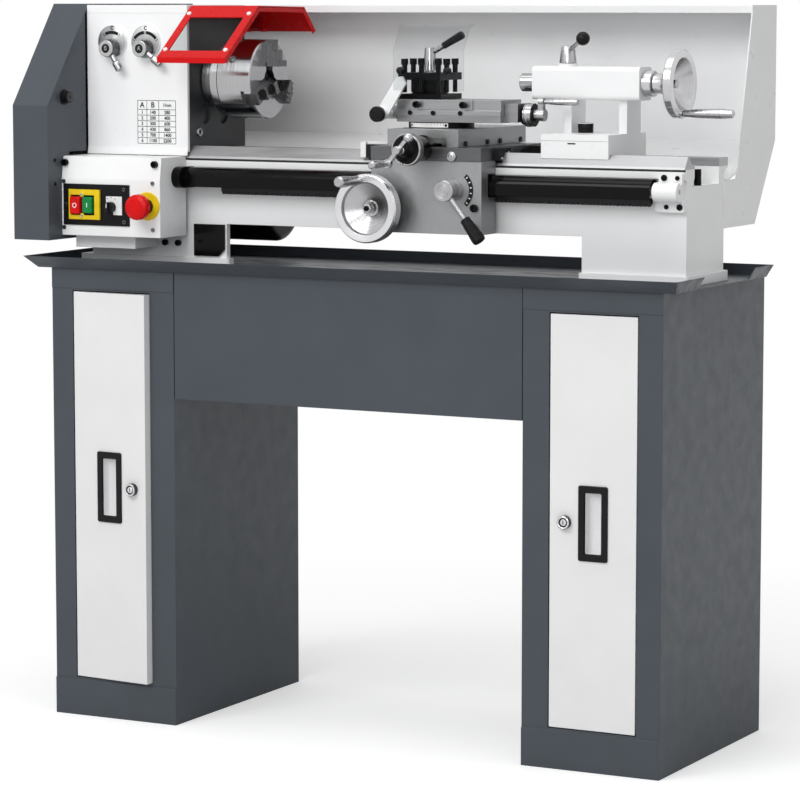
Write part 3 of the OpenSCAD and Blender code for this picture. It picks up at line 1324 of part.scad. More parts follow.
left_cabinet();
right_cabinet();
left_door();
right_door();
left_door_lock();
right_door_lock();
centre_panel();
chip_tray();
bed();
leadscrew();
bed_covers();
leadscrew_bracket();
headstock_casing();
headstock_covers();
spindle();
gear_cover();
cover_knob();
speed_lever_a();
speed_lever_b();
chuck_guard();
guard_window();
motor();
motor_pulley();
drive_belt();
input_shaft();
idler_gear();
chuck_body();
chuck_jaw_1();
chuck_jaw_2();
chuck_jaw_3();
control_box();
switch_plate();
stop_button();
start_button();
selector_knob();
estop_button();
rear_guard();
saddle();
apron();
carriage_wheel();
carriage_grip();
half_nut();
half_nut_lever();
cross_slide();
cross_crank();
cross_grip();
swivel_base();
top_slide();
top_crank();
top_grip();
tool_post();
tool_post_lever();
tool_shield();
shield_arm();
tailstock();
quill();
tailstock_wheel();
tailstock_grip();
quill_lock();
fasteners();
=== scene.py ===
import math
import bpy, bmesh
from mathutils import Vector, Matrix


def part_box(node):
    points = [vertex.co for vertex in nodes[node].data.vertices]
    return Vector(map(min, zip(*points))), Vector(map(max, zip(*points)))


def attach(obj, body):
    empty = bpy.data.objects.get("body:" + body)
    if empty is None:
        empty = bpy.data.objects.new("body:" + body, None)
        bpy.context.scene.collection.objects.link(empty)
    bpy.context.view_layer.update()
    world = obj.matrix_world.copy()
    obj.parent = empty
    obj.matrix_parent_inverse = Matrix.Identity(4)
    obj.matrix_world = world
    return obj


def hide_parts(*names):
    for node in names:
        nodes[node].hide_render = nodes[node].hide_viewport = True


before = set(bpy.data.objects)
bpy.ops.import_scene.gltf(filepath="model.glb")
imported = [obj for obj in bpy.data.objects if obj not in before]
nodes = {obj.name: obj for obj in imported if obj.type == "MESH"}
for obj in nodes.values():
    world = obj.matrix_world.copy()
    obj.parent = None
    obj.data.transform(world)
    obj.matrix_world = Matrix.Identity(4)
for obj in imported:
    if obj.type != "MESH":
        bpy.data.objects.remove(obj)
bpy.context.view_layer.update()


# ---- Stand: two cabinets and the panel between them ----------------------------------
# Welded 2 mm sheet steel in a slate grey powder coat, with a slightly pebbled gloss.
# The plinth and the top band are folded proud of the body; the panel is screwed in.
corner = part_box("left_cabinet")[0]
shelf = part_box("rear_guard")[1]
shelf_depth = 0.433  # from the stand's front face to the back of the shelf


def at(x, y, z):
    """Place in metres from millimetres off the stand's front left corner."""
    return Vector((corner[0] + x / 1000, shelf[1] - shelf_depth + y / 1000, z / 1000))


def start_finish(name):
    mat = bpy.data.materials.new(name)
    mat.use_nodes = True
    tree = mat.node_tree
    tree.nodes.clear()
    return mat, tree


def step(tree, kind, inputs, **settings):
    """Adds a node. An input that comes out of another node is linked, a plain value is set."""
    node = tree.nodes.new(kind)
    for name, value in settings.items():
        setattr(node, name, value)
    for name, value in inputs.items():
        if isinstance(value, bpy.types.NodeSocket):
            tree.links.new(value, node.inputs[name])
        else:
            node.inputs[name].default_value = value
    return node


def close_finish(mat, tree, shader):
    step(tree, "ShaderNodeOutputMaterial", {"Surface": shader})
    return mat


def finish(name, skin, *values, **more):
    """A material with one skin all over, such as paint or metal."""
    mat, tree = start_finish(name)
    return close_finish(mat, tree, skin(tree, *values, **more))


def object_place(tree):
    return step(tree, "ShaderNodeTexCoord", {}).outputs["Object"]


def grain(tree, scale, detail=3.0, stretch=(1, 1, 1), rough=0.55):
    """Noise in the object's own metres, drawn out along an axis where stretch is small."""
    mapping = step(tree, "ShaderNodeMapping", {"Vector": object_place(tree), "Scale": stretch})
    return step(tree, "ShaderNodeTexNoise", {"Vector": mapping.outputs["Vector"], "Scale": scale,
                                             "Detail": detail, "Roughness": rough}).outputs["Fac"]


def spread(tree, source, low, high, start=0.3, end=0.7):
    """The source's range from start to end, stretched to run from low to high."""
    return step(tree, "ShaderNodeMapRange", {"Value": source, "From Min": start, "From Max": end,
                                             "To Min": low, "To Max": high}).outputs["Result"]


def tone(tree, source, dark, light, start=0.3, end=0.7):
    """The source's range from start to end, turned into colours from dark to light."""
    ramp = step(tree, "ShaderNodeValToRGB", {"Fac": source})
    for stop, where, rgb in zip(ramp.color_ramp.elements, (start, end), (dark, light)):
        stop.position = where
        stop.color = (*rgb, 1)
    return ramp.outputs["Color"]


def vector(tree, operation, one, two=(0, 0, 0), result="Vector"):
    inputs = {0: one, 1: two}
    return step(tree, "ShaderNodeVectorMath", inputs, operation=operation).outputs[result]


def rounded_normal(tree, radius):
    """The surface's direction as if its sharp corners were rounded by that radius."""
    return step(tree, "ShaderNodeBevel", {"Radius": radius}, samples=4).outputs["Normal"]


def relief(tree, source, height, edge=0.0):
    """Bump of that height in metres; edge rounds the sharp corners by that radius."""
    inputs = {"Height": source, "Strength": 1.0, "Distance": height}
    if edge:
        inputs["Normal"] = rounded_normal(tree, edge)
    return step(tree, "ShaderNodeBump", inputs).outputs["Normal"]


def worn_edge(tree, radius, most):
    """Most on the sharp corners, 0 on the flats, from how far a rounded normal turns away."""
    face = step(tree, "ShaderNodeNewGeometry", {}).outputs["Normal"]
    level = vector(tree, "DOT_PRODUCT", rounded_normal(tree, radius), face, "Value")
    return spread(tree, level, most, 0.0, 0.8, 0.98)


def mixed(tree, factor, one, two, way="MIX"):
    inputs = {"Factor": factor, "A": one, "B": two}
    return step(tree, "ShaderNodeMix", inputs, data_type="RGBA", blend_type=way).outputs["Result"]


def shade(rgb, k):
    return tuple(min(1.0, max(0.0, c * k)) for c in rgb)


def sheen(rgb, usual):
    """Deep blacks and reds take a weaker surface reflection, so that they stay deep."""
    return 0.12 if max(rgb) < 0.02 or rgb[0] > 4 * rgb[1] + 0.1 else usual


def paint(tree, rgb, rough=0.38, pebble=0.0009, height=0.00003, mottle=0.05, edge=0.0012,
          wear=0.25):
    """Sprayed or powder-coated paint: pebbled skin, faint mottle, rubbed corners."""
    base = tone(tree, grain(tree, 9, 4), shade(rgb, 1 - mottle), shade(rgb, 1 + mottle))
    rubbed = tone(tree, grain(tree, 120, 4), shade(rgb, 1 + wear), shade(rgb, 1 + 2 * wear))
    return step(tree, "ShaderNodeBsdfPrincipled", {
        "Base Color": mixed(tree, worn_edge(tree, 0.0016, 0.7), base, rubbed),
        "Roughness": spread(tree, grain(tree, 34, 5), rough - 0.06, rough + 0.08),
        "Normal": relief(tree, grain(tree, 1 / pebble, 2), height, edge),
        "Specular IOR Level": sheen(rgb, 0.28)}).outputs["BSDF"]


def dress(node, mat):
    """Gives a carried-over part its finish."""
    if not nodes[node].material_slots:
        nodes[node].data.materials.append(mat)
    for slot in nodes[node].material_slots:
        slot.link = "OBJECT"
        slot.material = mat


slate = (0.060, 0.070, 0.083)
slate_coat = finish("slate_powder_coat", paint, slate, rough=0.40, pebble=0.0011, height=0.00004,
                    mottle=0.06, edge=0.0016, wear=0.3)
for name in ("left_cabinet", "right_cabinet", "centre_panel"):
    dress(name, slate_coat)


# ---- Chip tray -----------------------------------------------------------------------
# One folded sheet tray over both cabinets, in the same coat. Its rim leans outwards, and
# swarf leaves fine scuffs on the floor of it.
mat, tree = start_finish("tray_coat")
scuff = grain(tree, 60, 6, (0.25, 1, 1))
tray_skin = paint(tree, shade(slate, 0.95), rough=0.42, pebble=0.0011, height=0.00004, mottle=0.08,
                  edge=0.0018, wear=0.5)
tree.links.new(spread(tree, scuff, 0.34, 0.52, 0.45, 0.62), tray_skin.node.inputs["Roughness"])
dress("chip_tray", close_finish(mat, tree, tray_skin))


# ---- Cabinet doors with their handles and locks --------------------------------------
# Off-white folded pans that turn on two pins. A moulded black frame is snapped into each
# recess, and a cylinder lock with a bright rim is held by a nut behind the sheet.
white = (0.775, 0.775, 0.78)
door_coat = finish("door_coat", paint, white, rough=0.42, pebble=0.0010, mottle=0.025, wear=0.06)
dress("left_door", door_coat)
dress("right_door", door_coat)


def plastic(tree, rgb, rough=0.45, pebble=0.0005, height=0.00002, edge=0.0006):
    """Moulded plastic with a fine spark-eroded texture."""
    return step(tree, "ShaderNodeBsdfPrincipled", {
        "Base Color": tone(tree, grain(tree, 40, 3), shade(rgb, 0.9), shade(rgb, 1.12)),
        "Roughness": spread(tree, grain(tree, 90, 4), rough - 0.07, rough + 0.07),
        "Normal": relief(tree, grain(tree, 1 / pebble, 2), height, edge),
        "Specular IOR Level": sheen(rgb, 0.26)}).outputs["BSDF"]


def link_up(name, data):
    thing = bpy.data.objects.new(name, data)
    bpy.context.scene.collection.objects.link(thing)
    return thing


def new_piece(name, bm, mat, body, smooth=True):
    mesh = bpy.data.meshes.new(name)
    bmesh.ops.recalc_face_normals(bm, faces=bm.faces)
    bm.to_mesh(mesh)
    bm.free()
    piece = link_up(name, mesh)
    mesh.materials.append(mat)
    if smooth:
        for face in mesh.polygons:
            face.use_smooth = True
        mesh.set_sharp_from_angle(angle=math.radians(32))
    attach(piece, body)
    return piece


def rounded(w, h, r, steps=6):
    """Rounded rectangle round the origin, as a ring of (x, y) in millimetres."""
    ring = []
    for cx, cy, a0 in ((1, 1, 0), (-1, 1, 90), (-1, -1, 180), (1, -1, 270)):
        for i in range(steps + 1):
            a = math.radians(a0 + 90 * i / steps)
            ring.append((cx * (w / 2 - r) + r * math.cos(a), cy * (h / 2 - r) + r * math.sin(a)))
    return ring


def join_rings(bm, rows, close_front=True, close_back=True):
    """Faces from each ring of points to the next, and over the first and the last one."""
    for a, b in zip(rows, rows[1:]):
        for i in range(len(a)):
            j = (i + 1) % len(a)
            bm.faces.new((a[i], a[j], b[j], b[i]))
    if close_front:
        bm.faces.new(rows[0])
    if close_back:
        bm.faces.new(rows[-1])


def stack(name, layers, place, mat, body, close_front=True, close_back=True):
    """Skin through rings of [(x, y)...], each with a depth; place maps to metres."""
    bm = bmesh.new()
    rows = [[bm.verts.new(place(x, y, d)) for x, y in ring] for ring, d in layers]
    join_rings(bm, rows, close_front, close_back)
    return new_piece(name, bm, mat, body)


bezel_plastic = finish("bezel_plastic", plastic, (0.011, 0.011, 0.012), rough=0.42)
liner_coat = finish("recess_liner", paint, (0.72, 0.72, 0.73), rough=0.3, pebble=0.001,
                    height=0.00002, mottle=0.03, edge=0.0006, wear=0.03)
ajar = math.radians(5.5)
pin_x, pin_y, stand_w = 49, 5.5, 1050
handle_x, handle_z, lock_x = 108.7, 372, 154
liner_w, liner_h, liner_depth = 23.9, 89.9, 9.9


def left_door_place(x, z, out):
    """Point on the left door's face, out millimetres in front of it."""
    px, py = x - pin_x, -out - pin_y
    return at(pin_x + px * math.cos(ajar) + py * math.sin(ajar),
              pin_y - px * math.sin(ajar) + py * math.cos(ajar), z)


def right_door_place(x, z, out):
    return at(stand_w - x, -out, z)


for side, where in (("left", left_door_place), ("right", right_door_place)):
    def on_door(x, y, d, where=where):
        return where(handle_x + x, handle_z + y, d)
    frame_rings = [(rounded(47, 112, 3), 0.0), (rounded(47, 112, 3), 2.2),
                   (rounded(44.6, 109.6, 2.4), 3.2), (rounded(29, 94, 2), 3.2),
                   (rounded(26.6, 91.6, 1.6), 1.6), (rounded(25.2, 90.2, 1.2), 0.05)]
    stack(side + "_handle_bezel", frame_rings, on_door, bezel_plastic, side + "_door", False, False)
    liner = [(rounded(liner_w, liner_h, 1.2), -0.05)]
    for i in range(1, 7):
        a = i / 6 * math.pi / 2
        less = 1 - math.cos(a)
        liner.append((rounded(liner_w - 9 * less, liner_h - 2 * less, 1.2),
                      -0.05 - liner_depth * math.sin(a)))
    stack(side + "_handle_liner", liner, on_door, liner_coat, side + "_door", False, True)


def metal(tree, rgb, rough=0.28, stretch=(1, 1, 1), scale=220, height=0.000012, edge=0.0006,
          stain=0.12):
    """Bare machined metal. The lay of the cutting marks runs where stretch is small."""
    lay = grain(tree, scale, 4, stretch, 0.65)
    base = tone(tree, grain(tree, 14, 4), shade(rgb, 1 - stain), shade(rgb, 1 + stain * 0.5))
    streak = tone(tree, lay, shade(rgb, 0.86), shade(rgb, 1.08))
    return step(tree, "ShaderNodeBsdfPrincipled", {
        "Metallic": 1.0, "Base Color": mixed(tree, 0.5, base, streak),
        "Roughness": spread(tree, lay, rough - 0.05, rough + 0.1),
        "Normal": relief(tree, lay, height, edge)}).outputs["BSDF"]


def round_axis(origin, axis):
    """Maps (turn in radians, radius, distance along the axis) round that axis to metres."""
    axis = Vector(axis).normalized()
    side = axis.orthogonal().normalized()
    other = axis.cross(side)

    def place(turn, r, d):
        return origin + (axis * d + (side * math.cos(turn) + other * math.sin(turn)) * r) / 1000
    return place


def turned(name, profile, origin, axis, mat, body, steps=56):
    """Solid of revolution. The profile is (radius, distance along the axis) in millimetres."""
    place = round_axis(origin, axis)
    turns = [2 * math.pi * i / steps for i in range(steps)]
    bm = bmesh.new()
    rows = [[bm.verts.new(place(t, r, d)) for t in (turns if r > 1e-6 else (0.0,))]
            for r, d in profile]
    for a, b in zip(rows, rows[1:]):
        for i in range(steps):
            j = (i + 1) % steps
            corners = [a[i % len(a)], a[j % len(a)], b[j % len(b)], b[i % len(b)]]
            corners = list(dict.fromkeys(corners))
            if len(corners) > 2:
                bm.faces.new(corners)
    return new_piece(name, bm, mat, body)


lock_chrome = finish("lock_chrome", metal, (0.72, 0.72, 0.74), rough=0.18)
barrel_black = finish("lock_barrel_black", plastic, (0.03, 0.031, 0.033), rough=0.35)
for side, where in (("left", left_door_place), ("right", right_door_place)):
    dress(side + "_door_lock", barrel_black)
    middle = where(lock_x, handle_z, 8.0)
    facing = (where(lock_x, handle_z, 9.0) - middle).normalized()
    body = side + "_door_lock"
    rim_profile = [(7.2, -1.5), (7.2, 0.6), (8.2, 1.0), (9.6, 0.5), (9.9, -0.6), (9.6, -1.5)]
    turned(side + "_lock_rim", rim_profile, middle,
           facing, lock_chrome, body)
    turned(side + "_lock_plug", [(0, 0.2), (4.4, 0.2), (5.1, -0.4), (5.1, -2.2)], middle, facing,
           lock_chrome, body)

    def on_lock(x, y, d, where=where):
        return where(lock_x + x, handle_z + y, 8 + d)
    slot = rounded(1.4, 6.2, 0.5, 3)
    stack(side + "_key_slot", [(slot, 0.15), (slot, 0.32)], on_lock, barrel_black, body)


# ---- Bed with its rack ---------------------------------------------------------------
# A grey iron casting in white enamel. The V way and the flat way are ground bright, with a
# thin band of painted shadow under the front way's edge. The black toothed rack is screwed
# under the front rail.
enamel_white = (0.85, 0.855, 0.86)


def number(tree, operation, one, two):
    return step(tree, "ShaderNodeMath", {0: one, 1: two}, operation=operation).outputs["Value"]


def both_zones(tree, one, two):
    return number(tree, "MULTIPLY", one, two)


def x_of(x):
    return at(x, 0, 0)[0]


def y_of(y):
    return at(0, y, 0)[1]


X, Y, Z = 0, 1, 2
far = 9


def zone(tree, axis, low, high):
    """1 where the place along that axis, in metres, lies between low and high."""
    split = step(tree, "ShaderNodeSeparateXYZ", {"Vector": object_place(tree)})
    place = split.outputs[axis]
    above = number(tree, "GREATER_THAN", place, low)
    return both_zones(tree, above, number(tree, "LESS_THAN", place, high))


def swap(tree, mask, outside, inside):
    """One shader outside the mask, the other inside it."""
    inputs = {"Fac": mask, 1: outside, 2: inside}
    return step(tree, "ShaderNodeMixShader", inputs).outputs["Shader"]


mat, tree = start_finish("bed_casting")
bed_paint = paint(tree, enamel_white, rough=0.34, pebble=0.0016, height=0.00005, mottle=0.025,
                  edge=0.0016, wear=0.05)
way_steel = metal(tree, (0.33, 0.332, 0.338), rough=0.36, stretch=(0.06, 1, 1), scale=260,
                  height=0.00001, edge=0.0004)
rack_black = metal(tree, (0.035, 0.035, 0.037), rough=0.45, scale=300, height=0.00002, edge=0.0004)
way_shadow_line = plastic(tree, (0.02, 0.02, 0.021), rough=0.5)
way_top = zone(tree, Z, 0.8895, 1.0)
bed_shader = swap(tree, way_top, bed_paint, way_steel)
# A thin dark band under the front way's edge: painted shadow of the way's overhang.
way_shadow_zone = both_zones(tree, zone(tree, Z, 0.8862, 0.8896), zone(tree, Y, y_of(79), y_of(84)))
bed_shader = swap(tree, way_shadow_zone, bed_shader, way_shadow_line)
rack_zone = both_zones(tree, zone(tree, Y, y_of(70), y_of(89.95)), zone(tree, Z, 0.8300, 0.8460))
dress("bed", close_finish(mat, tree, swap(tree, rack_zone, bed_shader, rack_black)))


# ---- Leadscrew, its cover and its end bracket ----------------------------------------
# The screw is ground steel under a black anodised channel that is open below. The
# bracket at the right is a white casting held by four socket screws.


def one_of_three(axis, own, other):
    """Own at that axis, other at the two others."""
    return tuple(own if i == axis else other for i in range(3))


def from_centre(tree, centre):
    return vector(tree, "SUBTRACT", object_place(tree), centre)


def off_axis(tree, centre, axis):
    """The way out from that axis, square to it."""
    return vector(tree, "MULTIPLY", from_centre(tree, centre), one_of_three(axis, 0.0, 1.0))


def turned_marks(tree, centre, axis):
    """Noise over the distances from a turned part's axis and along it: rings of tool marks."""
    out = vector(tree, "LENGTH", off_axis(tree, centre, axis), result="Value")
    along = vector(tree, "MULTIPLY", from_centre(tree, centre), one_of_three(axis, 1.0, 0.0))
    depth = vector(tree, "LENGTH", along, result="Value")
    spot = step(tree, "ShaderNodeCombineXYZ", {"X": out, "Y": depth}).outputs["Vector"]
    inputs = {"Vector": spot, "Scale": 900, "Detail": 3}
    return step(tree, "ShaderNodeTexNoise", inputs).outputs["Fac"]


def round_the_axis(tree, centre, axis):
    """Direction in which the tool marks run: square to the axis and to the radius."""
    own_axis = one_of_three(axis, 1.0, 0.0)
    return vector(tree, "CROSS_PRODUCT", from_centre(tree, centre), own_axis)


def painted_light_lobes(tree, centre, axis, towards, dark, light):
    """Painted shade and highlight on a faced disc: light on one side, falling to dark on the side
    that looks that way.
    """
    way_out = vector(tree, "NORMALIZE", off_axis(tree, centre, axis))
    facing = vector(tree, "DOT_PRODUCT", way_out, Vector(towards).normalized(), "Value")
    return spread(tree, facing, light, dark, 0.15, 0.95)


def turned_metal(tree, rgb, centre, axis, rough=0.2, height=0.000010, edge=0.0005, lobes=None):
    """Metal finished on a lathe: fine rings round its own axis. Lobes, when given, multiply in
    painted shade and highlight.
    """
    rings = turned_marks(tree, centre, axis)
    base = tone(tree, grain(tree, 22, 4), shade(rgb, 0.9), shade(rgb, 1.05))
    line = tone(tree, rings, shade(rgb, 0.82), shade(rgb, 1.08))
    colour = mixed(tree, 0.5, base, line)
    if lobes:
        colour = mixed(tree, 1.0, colour, painted_light_lobes(tree, centre, axis, *lobes), "MULTIPLY")
    return step(tree, "ShaderNodeBsdfPrincipled", {
        "Metallic": 1.0, "Base Color": colour,
        "Roughness": spread(tree, rings, rough - 0.04, rough + 0.09),
        "Normal": relief(tree, rings, height, edge),
        "Anisotropic": 0.75, "Anisotropic Rotation": 0.25,
        "Tangent": round_the_axis(tree, centre, axis)}).outputs["BSDF"]


dress("leadscrew", finish("leadscrew_steel", turned_metal, (0.52, 0.52, 0.53), at(500, 70, 858), X,
                          rough=0.24))
black_coat = finish("black_cover_coat", paint, (0.003, 0.003, 0.0033), rough=0.13, pebble=0.0016,
                    height=0.000008, mottle=0.12, wear=0.4)
dress("bed_covers", black_coat)
machine_white = finish("machine_white_enamel", paint, enamel_white, rough=0.32, pebble=0.0014,
                       mottle=0.02, edge=0.0014, wear=0.05)
dress("leadscrew_bracket", machine_white)


# ---- Screws of the fixed parts -------------------------------------------------------
# Blackened cap screws and bolts, driven home with an Allen key, so the coat is rubbed
# bright round the rims.
black_coat_steel = dict(rgb=(0.011, 0.011, 0.012), rough=0.36, scale=320, height=0.00002,
                        edge=0.0005, stain=0.3)
blackened = finish("blackened_steel", metal, **black_coat_steel)
mat, tree = start_finish("screw_finishes")
black_heads = metal(tree, **black_coat_steel)
bright_heads = metal(tree, (0.16, 0.16, 0.165), rough=0.25, scale=320, height=0.00001, edge=0.0004,
                     stain=0.1)
on_box = both_zones(tree, zone(tree, Y, -far, y_of(2.2)), zone(tree, Z, 0.7, 0.860))
dress("fasteners", close_finish(mat, tree, swap(tree, on_box, black_heads, bright_heads)))


# ---- Headstock -----------------------------------------------------------------------
# A ribbed iron box in dark graphite enamel, closed by a white front plate and a white lid.
# Both speed levers turn in bosses of the plate, over two printed metal dials.
mat, tree = start_finish("casing_finishes")
casing_skin = paint(tree, (0.034, 0.036, 0.039), rough=0.36, pebble=0.0022, height=0.00009,
                    mottle=0.12, edge=0.0016, wear=0.3)
rod_red = paint(tree, (0.42, 0.006, 0.008), rough=0.26, pebble=0.0018, height=0.00002, mottle=0.04,
                edge=0.0008, wear=0.12)
beyond_casing = zone(tree, X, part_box("headstock_covers")[1][0] + 0.00002, far)
dress("headstock_casing", close_finish(mat, tree, swap(tree, beyond_casing, casing_skin, rod_red)))
dress("headstock_covers", machine_white)
dial_metal = finish("dial_aluminium", turned_metal, (0.46, 0.465, 0.47), at(67.5, 76, 1070.5), Y,
                    rough=0.34)
print_black = finish("printed_black", plastic, (0.012, 0.012, 0.013), rough=0.5, pebble=0.0004,
                     height=0.000005, edge=0.0002)


def facing_front(y, x0=0, z0=0):
    """Maps (x, z, out) in millimetres, from (x0, z0), to a face that looks at the operator."""
    def place(x, z, out):
        return at(x0 + x, y - out, z0 + z)
    return place


def arc_band(cx, cz, r0, r1, a0, a1, steps=24):
    """Outline between two radii round a centre, from one angle to another in degrees."""
    def arc(r, start, end):
        turns = [math.radians(start + (end - start) * i / steps) for i in range(steps + 1)]
        return [(cx + r * math.cos(a), cz + r * math.sin(a)) for a in turns]
    return arc(r1, a0, a1) + arc(r0, a1, a0)


def oblong(x0, x1, z0, z1):
    return [(x0, z0), (x1, z0), (x1, z1), (x0, z1)]


def print_shape(name, ring, place, body, mat=print_black, thick=0.12):
    stack(name, [(ring, thick), (ring, 0.0)], place, mat, body)


def lettering(name, text, size, spot, mat, body):
    """Generic printed figures that face the operator."""
    curve = bpy.data.curves.new(name, "FONT")
    curve.body = text
    curve.size = size / 1000
    curve.extrude = 0.00005
    curve.bevel_depth = size * 0.000020
    curve.bevel_resolution = 0
    curve.align_x = "CENTER"
    curve.align_y = "CENTER"
    piece = link_up(name, curve)
    piece.matrix_world = Matrix.Translation(spot) @ Matrix.Rotation(math.radians(90), 4, "X")
    curve.materials.append(mat)
    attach(piece, body)


def tilted(degrees):
    """Direction in the plane that faces the operator, at that angle up from the right."""
    a = math.radians(degrees)
    return Vector((math.cos(a), 0, math.sin(a)))


to_front, to_right = (0, -1, 0), (1, 0, 0)
lever_z = 1060
dial_r0, dial_r1 = 22.5, 27.5
on_dial = facing_front(75.4)
for tag, cx, spans in (("b", 67.5, ((62, 118),)), ("a", 129.5, ((38, 86), (94, 142)))):
    turned("speed_dial_" + tag, [(0, 0.5), (24.6, 0.5), (25.6, 0.0), (25.6, -0.2)],
           at(cx, 76, lever_z + 10.5), to_front, dial_metal, "lathe")
    for i, (a0, a1) in enumerate(spans):
        print_shape(f"dial_{tag}_band_{i}", arc_band(cx, lever_z, dial_r0, dial_r1, a0, a1),
                    on_dial, "lathe")
    print_shape(f"dial_{tag}_turn_mark", arc_band(cx + 1, 1092, 1.7, 3.1, 20, 330), on_dial,
                "lathe")
    ends = [spans[0][0] - 6, spans[-1][1] + 6] + ([90] if tag == "a" else [])
    for i, a in enumerate(ends):
        stop = arc_band(cx, lever_z, dial_r0, dial_r1, a - 1.2, a + 1.2, 3)
        print_shape(f"dial_{tag}_stop_{i}", stop, on_dial, "lathe")

lever_chrome = finish("lever_satin_chrome", metal, (0.42, 0.42, 0.428), rough=0.22, scale=200,
                      height=0.000006, edge=0.0016)
# Painted shade: the hubs' sides take a dark copy of the lever steel, and their faces a bright one.
hub_steel = finish("lever_hub_painted_shade", metal, (0.13, 0.13, 0.134), rough=0.25, stretch=(1, 0.1, 1),
                   scale=240, height=0.000006)
lever_face = finish("lever_face_steel", metal, (0.5, 0.5, 0.508), rough=0.26, scale=240,
                    height=0.000006, edge=0.0004)
hub_profile = [(0, 0), (6.9, 0), (6.9, 26.4), (14.9, 26.4), (15.2, 27), (14.6, 33), (13.4, 42.5),
               (13.0, 44.6), (0, 44.6)]
face_profile = [(0, 44.7), (12.9, 44.7), (12.8, 45.4), (12.2, 46), (0, 46)]
for tag, cx, lean, reach in (("b", 68, -58, 36), ("a", 130, -36, 39)):
    lever = "speed_lever_" + tag
    hub_foot = at(cx, 102, lever_z)
    handle_profile = [(0, 9), (4.0, 9), (4.0, 24), (5.0, 24.6), (6.4, 27), (6.5, 29),
                      (6.5, reach + 1), (5.8, reach + 3.4), (3.6, reach + 5.3), (0, reach + 6)]
    hub = turned(f"lever_{tag}_hub", hub_profile, hub_foot, to_front, hub_steel, lever, 64)
    face = turned(f"lever_{tag}_face", face_profile, hub_foot, to_front, lever_face, lever, 64)
    handle = turned(f"lever_{tag}_handle", handle_profile, at(cx, 64.5, lever_z), tilted(lean),
                    lever_chrome, lever, 40)
    for piece in (hub, face, handle):
        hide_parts(lever)
    turned(f"lever_{tag}_badge", [(0, 0.35), (6.6, 0.35), (7.2, 0.1), (7.2, -0.2)],
           at(cx, 56, lever_z), to_front, print_black, lever)
    lettering(f"lever_{tag}_letter", tag.upper(), 10, at(cx, 55.5, lever_z), lever_chrome, lever)

rule_x = [112, 129, 151, 182]
rule_z = [978.5, 964.3, 955.4, 946.5, 937.6, 928.7, 919.8, 910.9]
column_x = (120.5, 140, 166.5)
line = 0.4
on_front = facing_front(79.95)
for i, x in enumerate(rule_x):
    print_shape(f"speed_table_column_{i}", oblong(x - line, x + line, rule_z[-1], rule_z[0]),
                on_front, "lathe", thick=0.08)
for i, z in enumerate(rule_z):
    print_shape(f"speed_table_rule_{i}", oblong(rule_x[0], rule_x[-1], z - line, z + line),
                on_front, "lathe", thick=0.08)
heads = (("a", "A", 12), ("b", "B", 12), ("rate", "1/min", 7))
for x, (name, text, size) in zip(column_x, heads):
    lettering("speed_head_" + name, text, size, at(x, 79.7, 971.2), print_black, "lathe")
rows = (("1", "140", "280"), ("2", "200", "400"), ("3", "300", "600"), ("4", "430", "860"),
        ("5", "700", "1400"), ("6", "1100", "2200"))
for r, row in enumerate(rows):
    z = (rule_z[r + 1] + rule_z[r + 2]) / 2
    for c, (x, text) in enumerate(zip(column_x, row)):
        lettering(f"speed_figure_{r}_{c}", text, 7.4, at(x, 79.7, z - 0.2), print_black, "lathe")
turned("casing_plug", [(3.6, -3), (3.6, 2.6), (6.2, 3.2), (7.4, 2.2), (7.6, -2)], at(204, 114, 929),
       to_right, lever_chrome, "lathe")


# ---- Drive behind the gear cover -----------------------------------------------------
# Turned steel shafts with hobbed gears, oiled. The belt is moulded rubber, and the motor
# is a black painted can bolted behind the bed.


def on_spindle(x):
    """Point on the axis that the spindle and the quill share."""
    return at(x, 165, 1012)


gear_steel = finish("gear_steel", turned_metal, (0.45, 0.45, 0.46), on_spindle(0), X, rough=0.28)
for name in ("spindle", "input_shaft", "motor_pulley", "idler_gear"):
    dress(name, gear_steel)
dress("drive_belt", finish("belt_rubber", plastic, (0.02, 0.02, 0.021), rough=0.7, pebble=0.0006,
                           height=0.00006))
dress("motor", finish("motor_black", paint, (0.006, 0.006, 0.007), rough=0.34, pebble=0.0014,
                      height=0.00005, mottle=0.1, edge=0.002, wear=0.8))


# ---- Gear cover ----------------------------------------------------------------------
# A folded and welded sheet cover in the slate coat, hinged at the back and held shut by a
# black turn knob on a flat rose. Two small screws show on its side.
dress("gear_cover", slate_coat)
dress("cover_knob", finish("cover_knob_finish", plastic, (0.007, 0.007, 0.008), rough=0.3,
                           pebble=0.0007, height=0.00001, edge=0.001))
knob_face = at(18.7 + 11, 11, 984)
turned("cover_knob_dimple", [(0, -0.4), (3.0, 0.1), (5.6, 0.5), (7.4, 0.2), (8.6, -0.8)], knob_face,
       to_right, barrel_black, "cover_knob", 40)
for i, z in enumerate((886, 849)):
    turned(f"cover_screw_{i}", [(0, 1.2), (2.2, 1.2), (3.0, 0.4), (3.0, -0.2)], at(18.7, -17, z),
           to_right, blackened, "gear_cover", 32)


# ---- Chuck ---------------------------------------------------------------------------
# A polished steel body bolted to an iron back plate. Three hard stepped jaws slide in its
# slots; the front face keeps fine turning rings.
chuck_centre = on_spindle(270)
mat, tree = start_finish("chuck_polished_steel")
chuck_skin = turned_metal(tree, (0.46, 0.46, 0.468), chuck_centre, X, rough=0.16, height=0.000014)
plate_black = turned_metal(tree, (0.014, 0.014, 0.015), chuck_centre, X, rough=0.34)
behind = zone(tree, X, -far, x_of(228))
dress("chuck_body", close_finish(mat, tree, swap(tree, behind, chuck_skin, plate_black)))
jaw_steel = finish("jaw_hard_steel", metal, (0.16, 0.16, 0.165), rough=0.24, stretch=(1, 0.1, 0.1),
                   scale=240, height=0.00001, edge=0.0008, stain=0.2)
for i in (1, 2, 3):
    dress(f"chuck_jaw_{i}", jaw_steel)


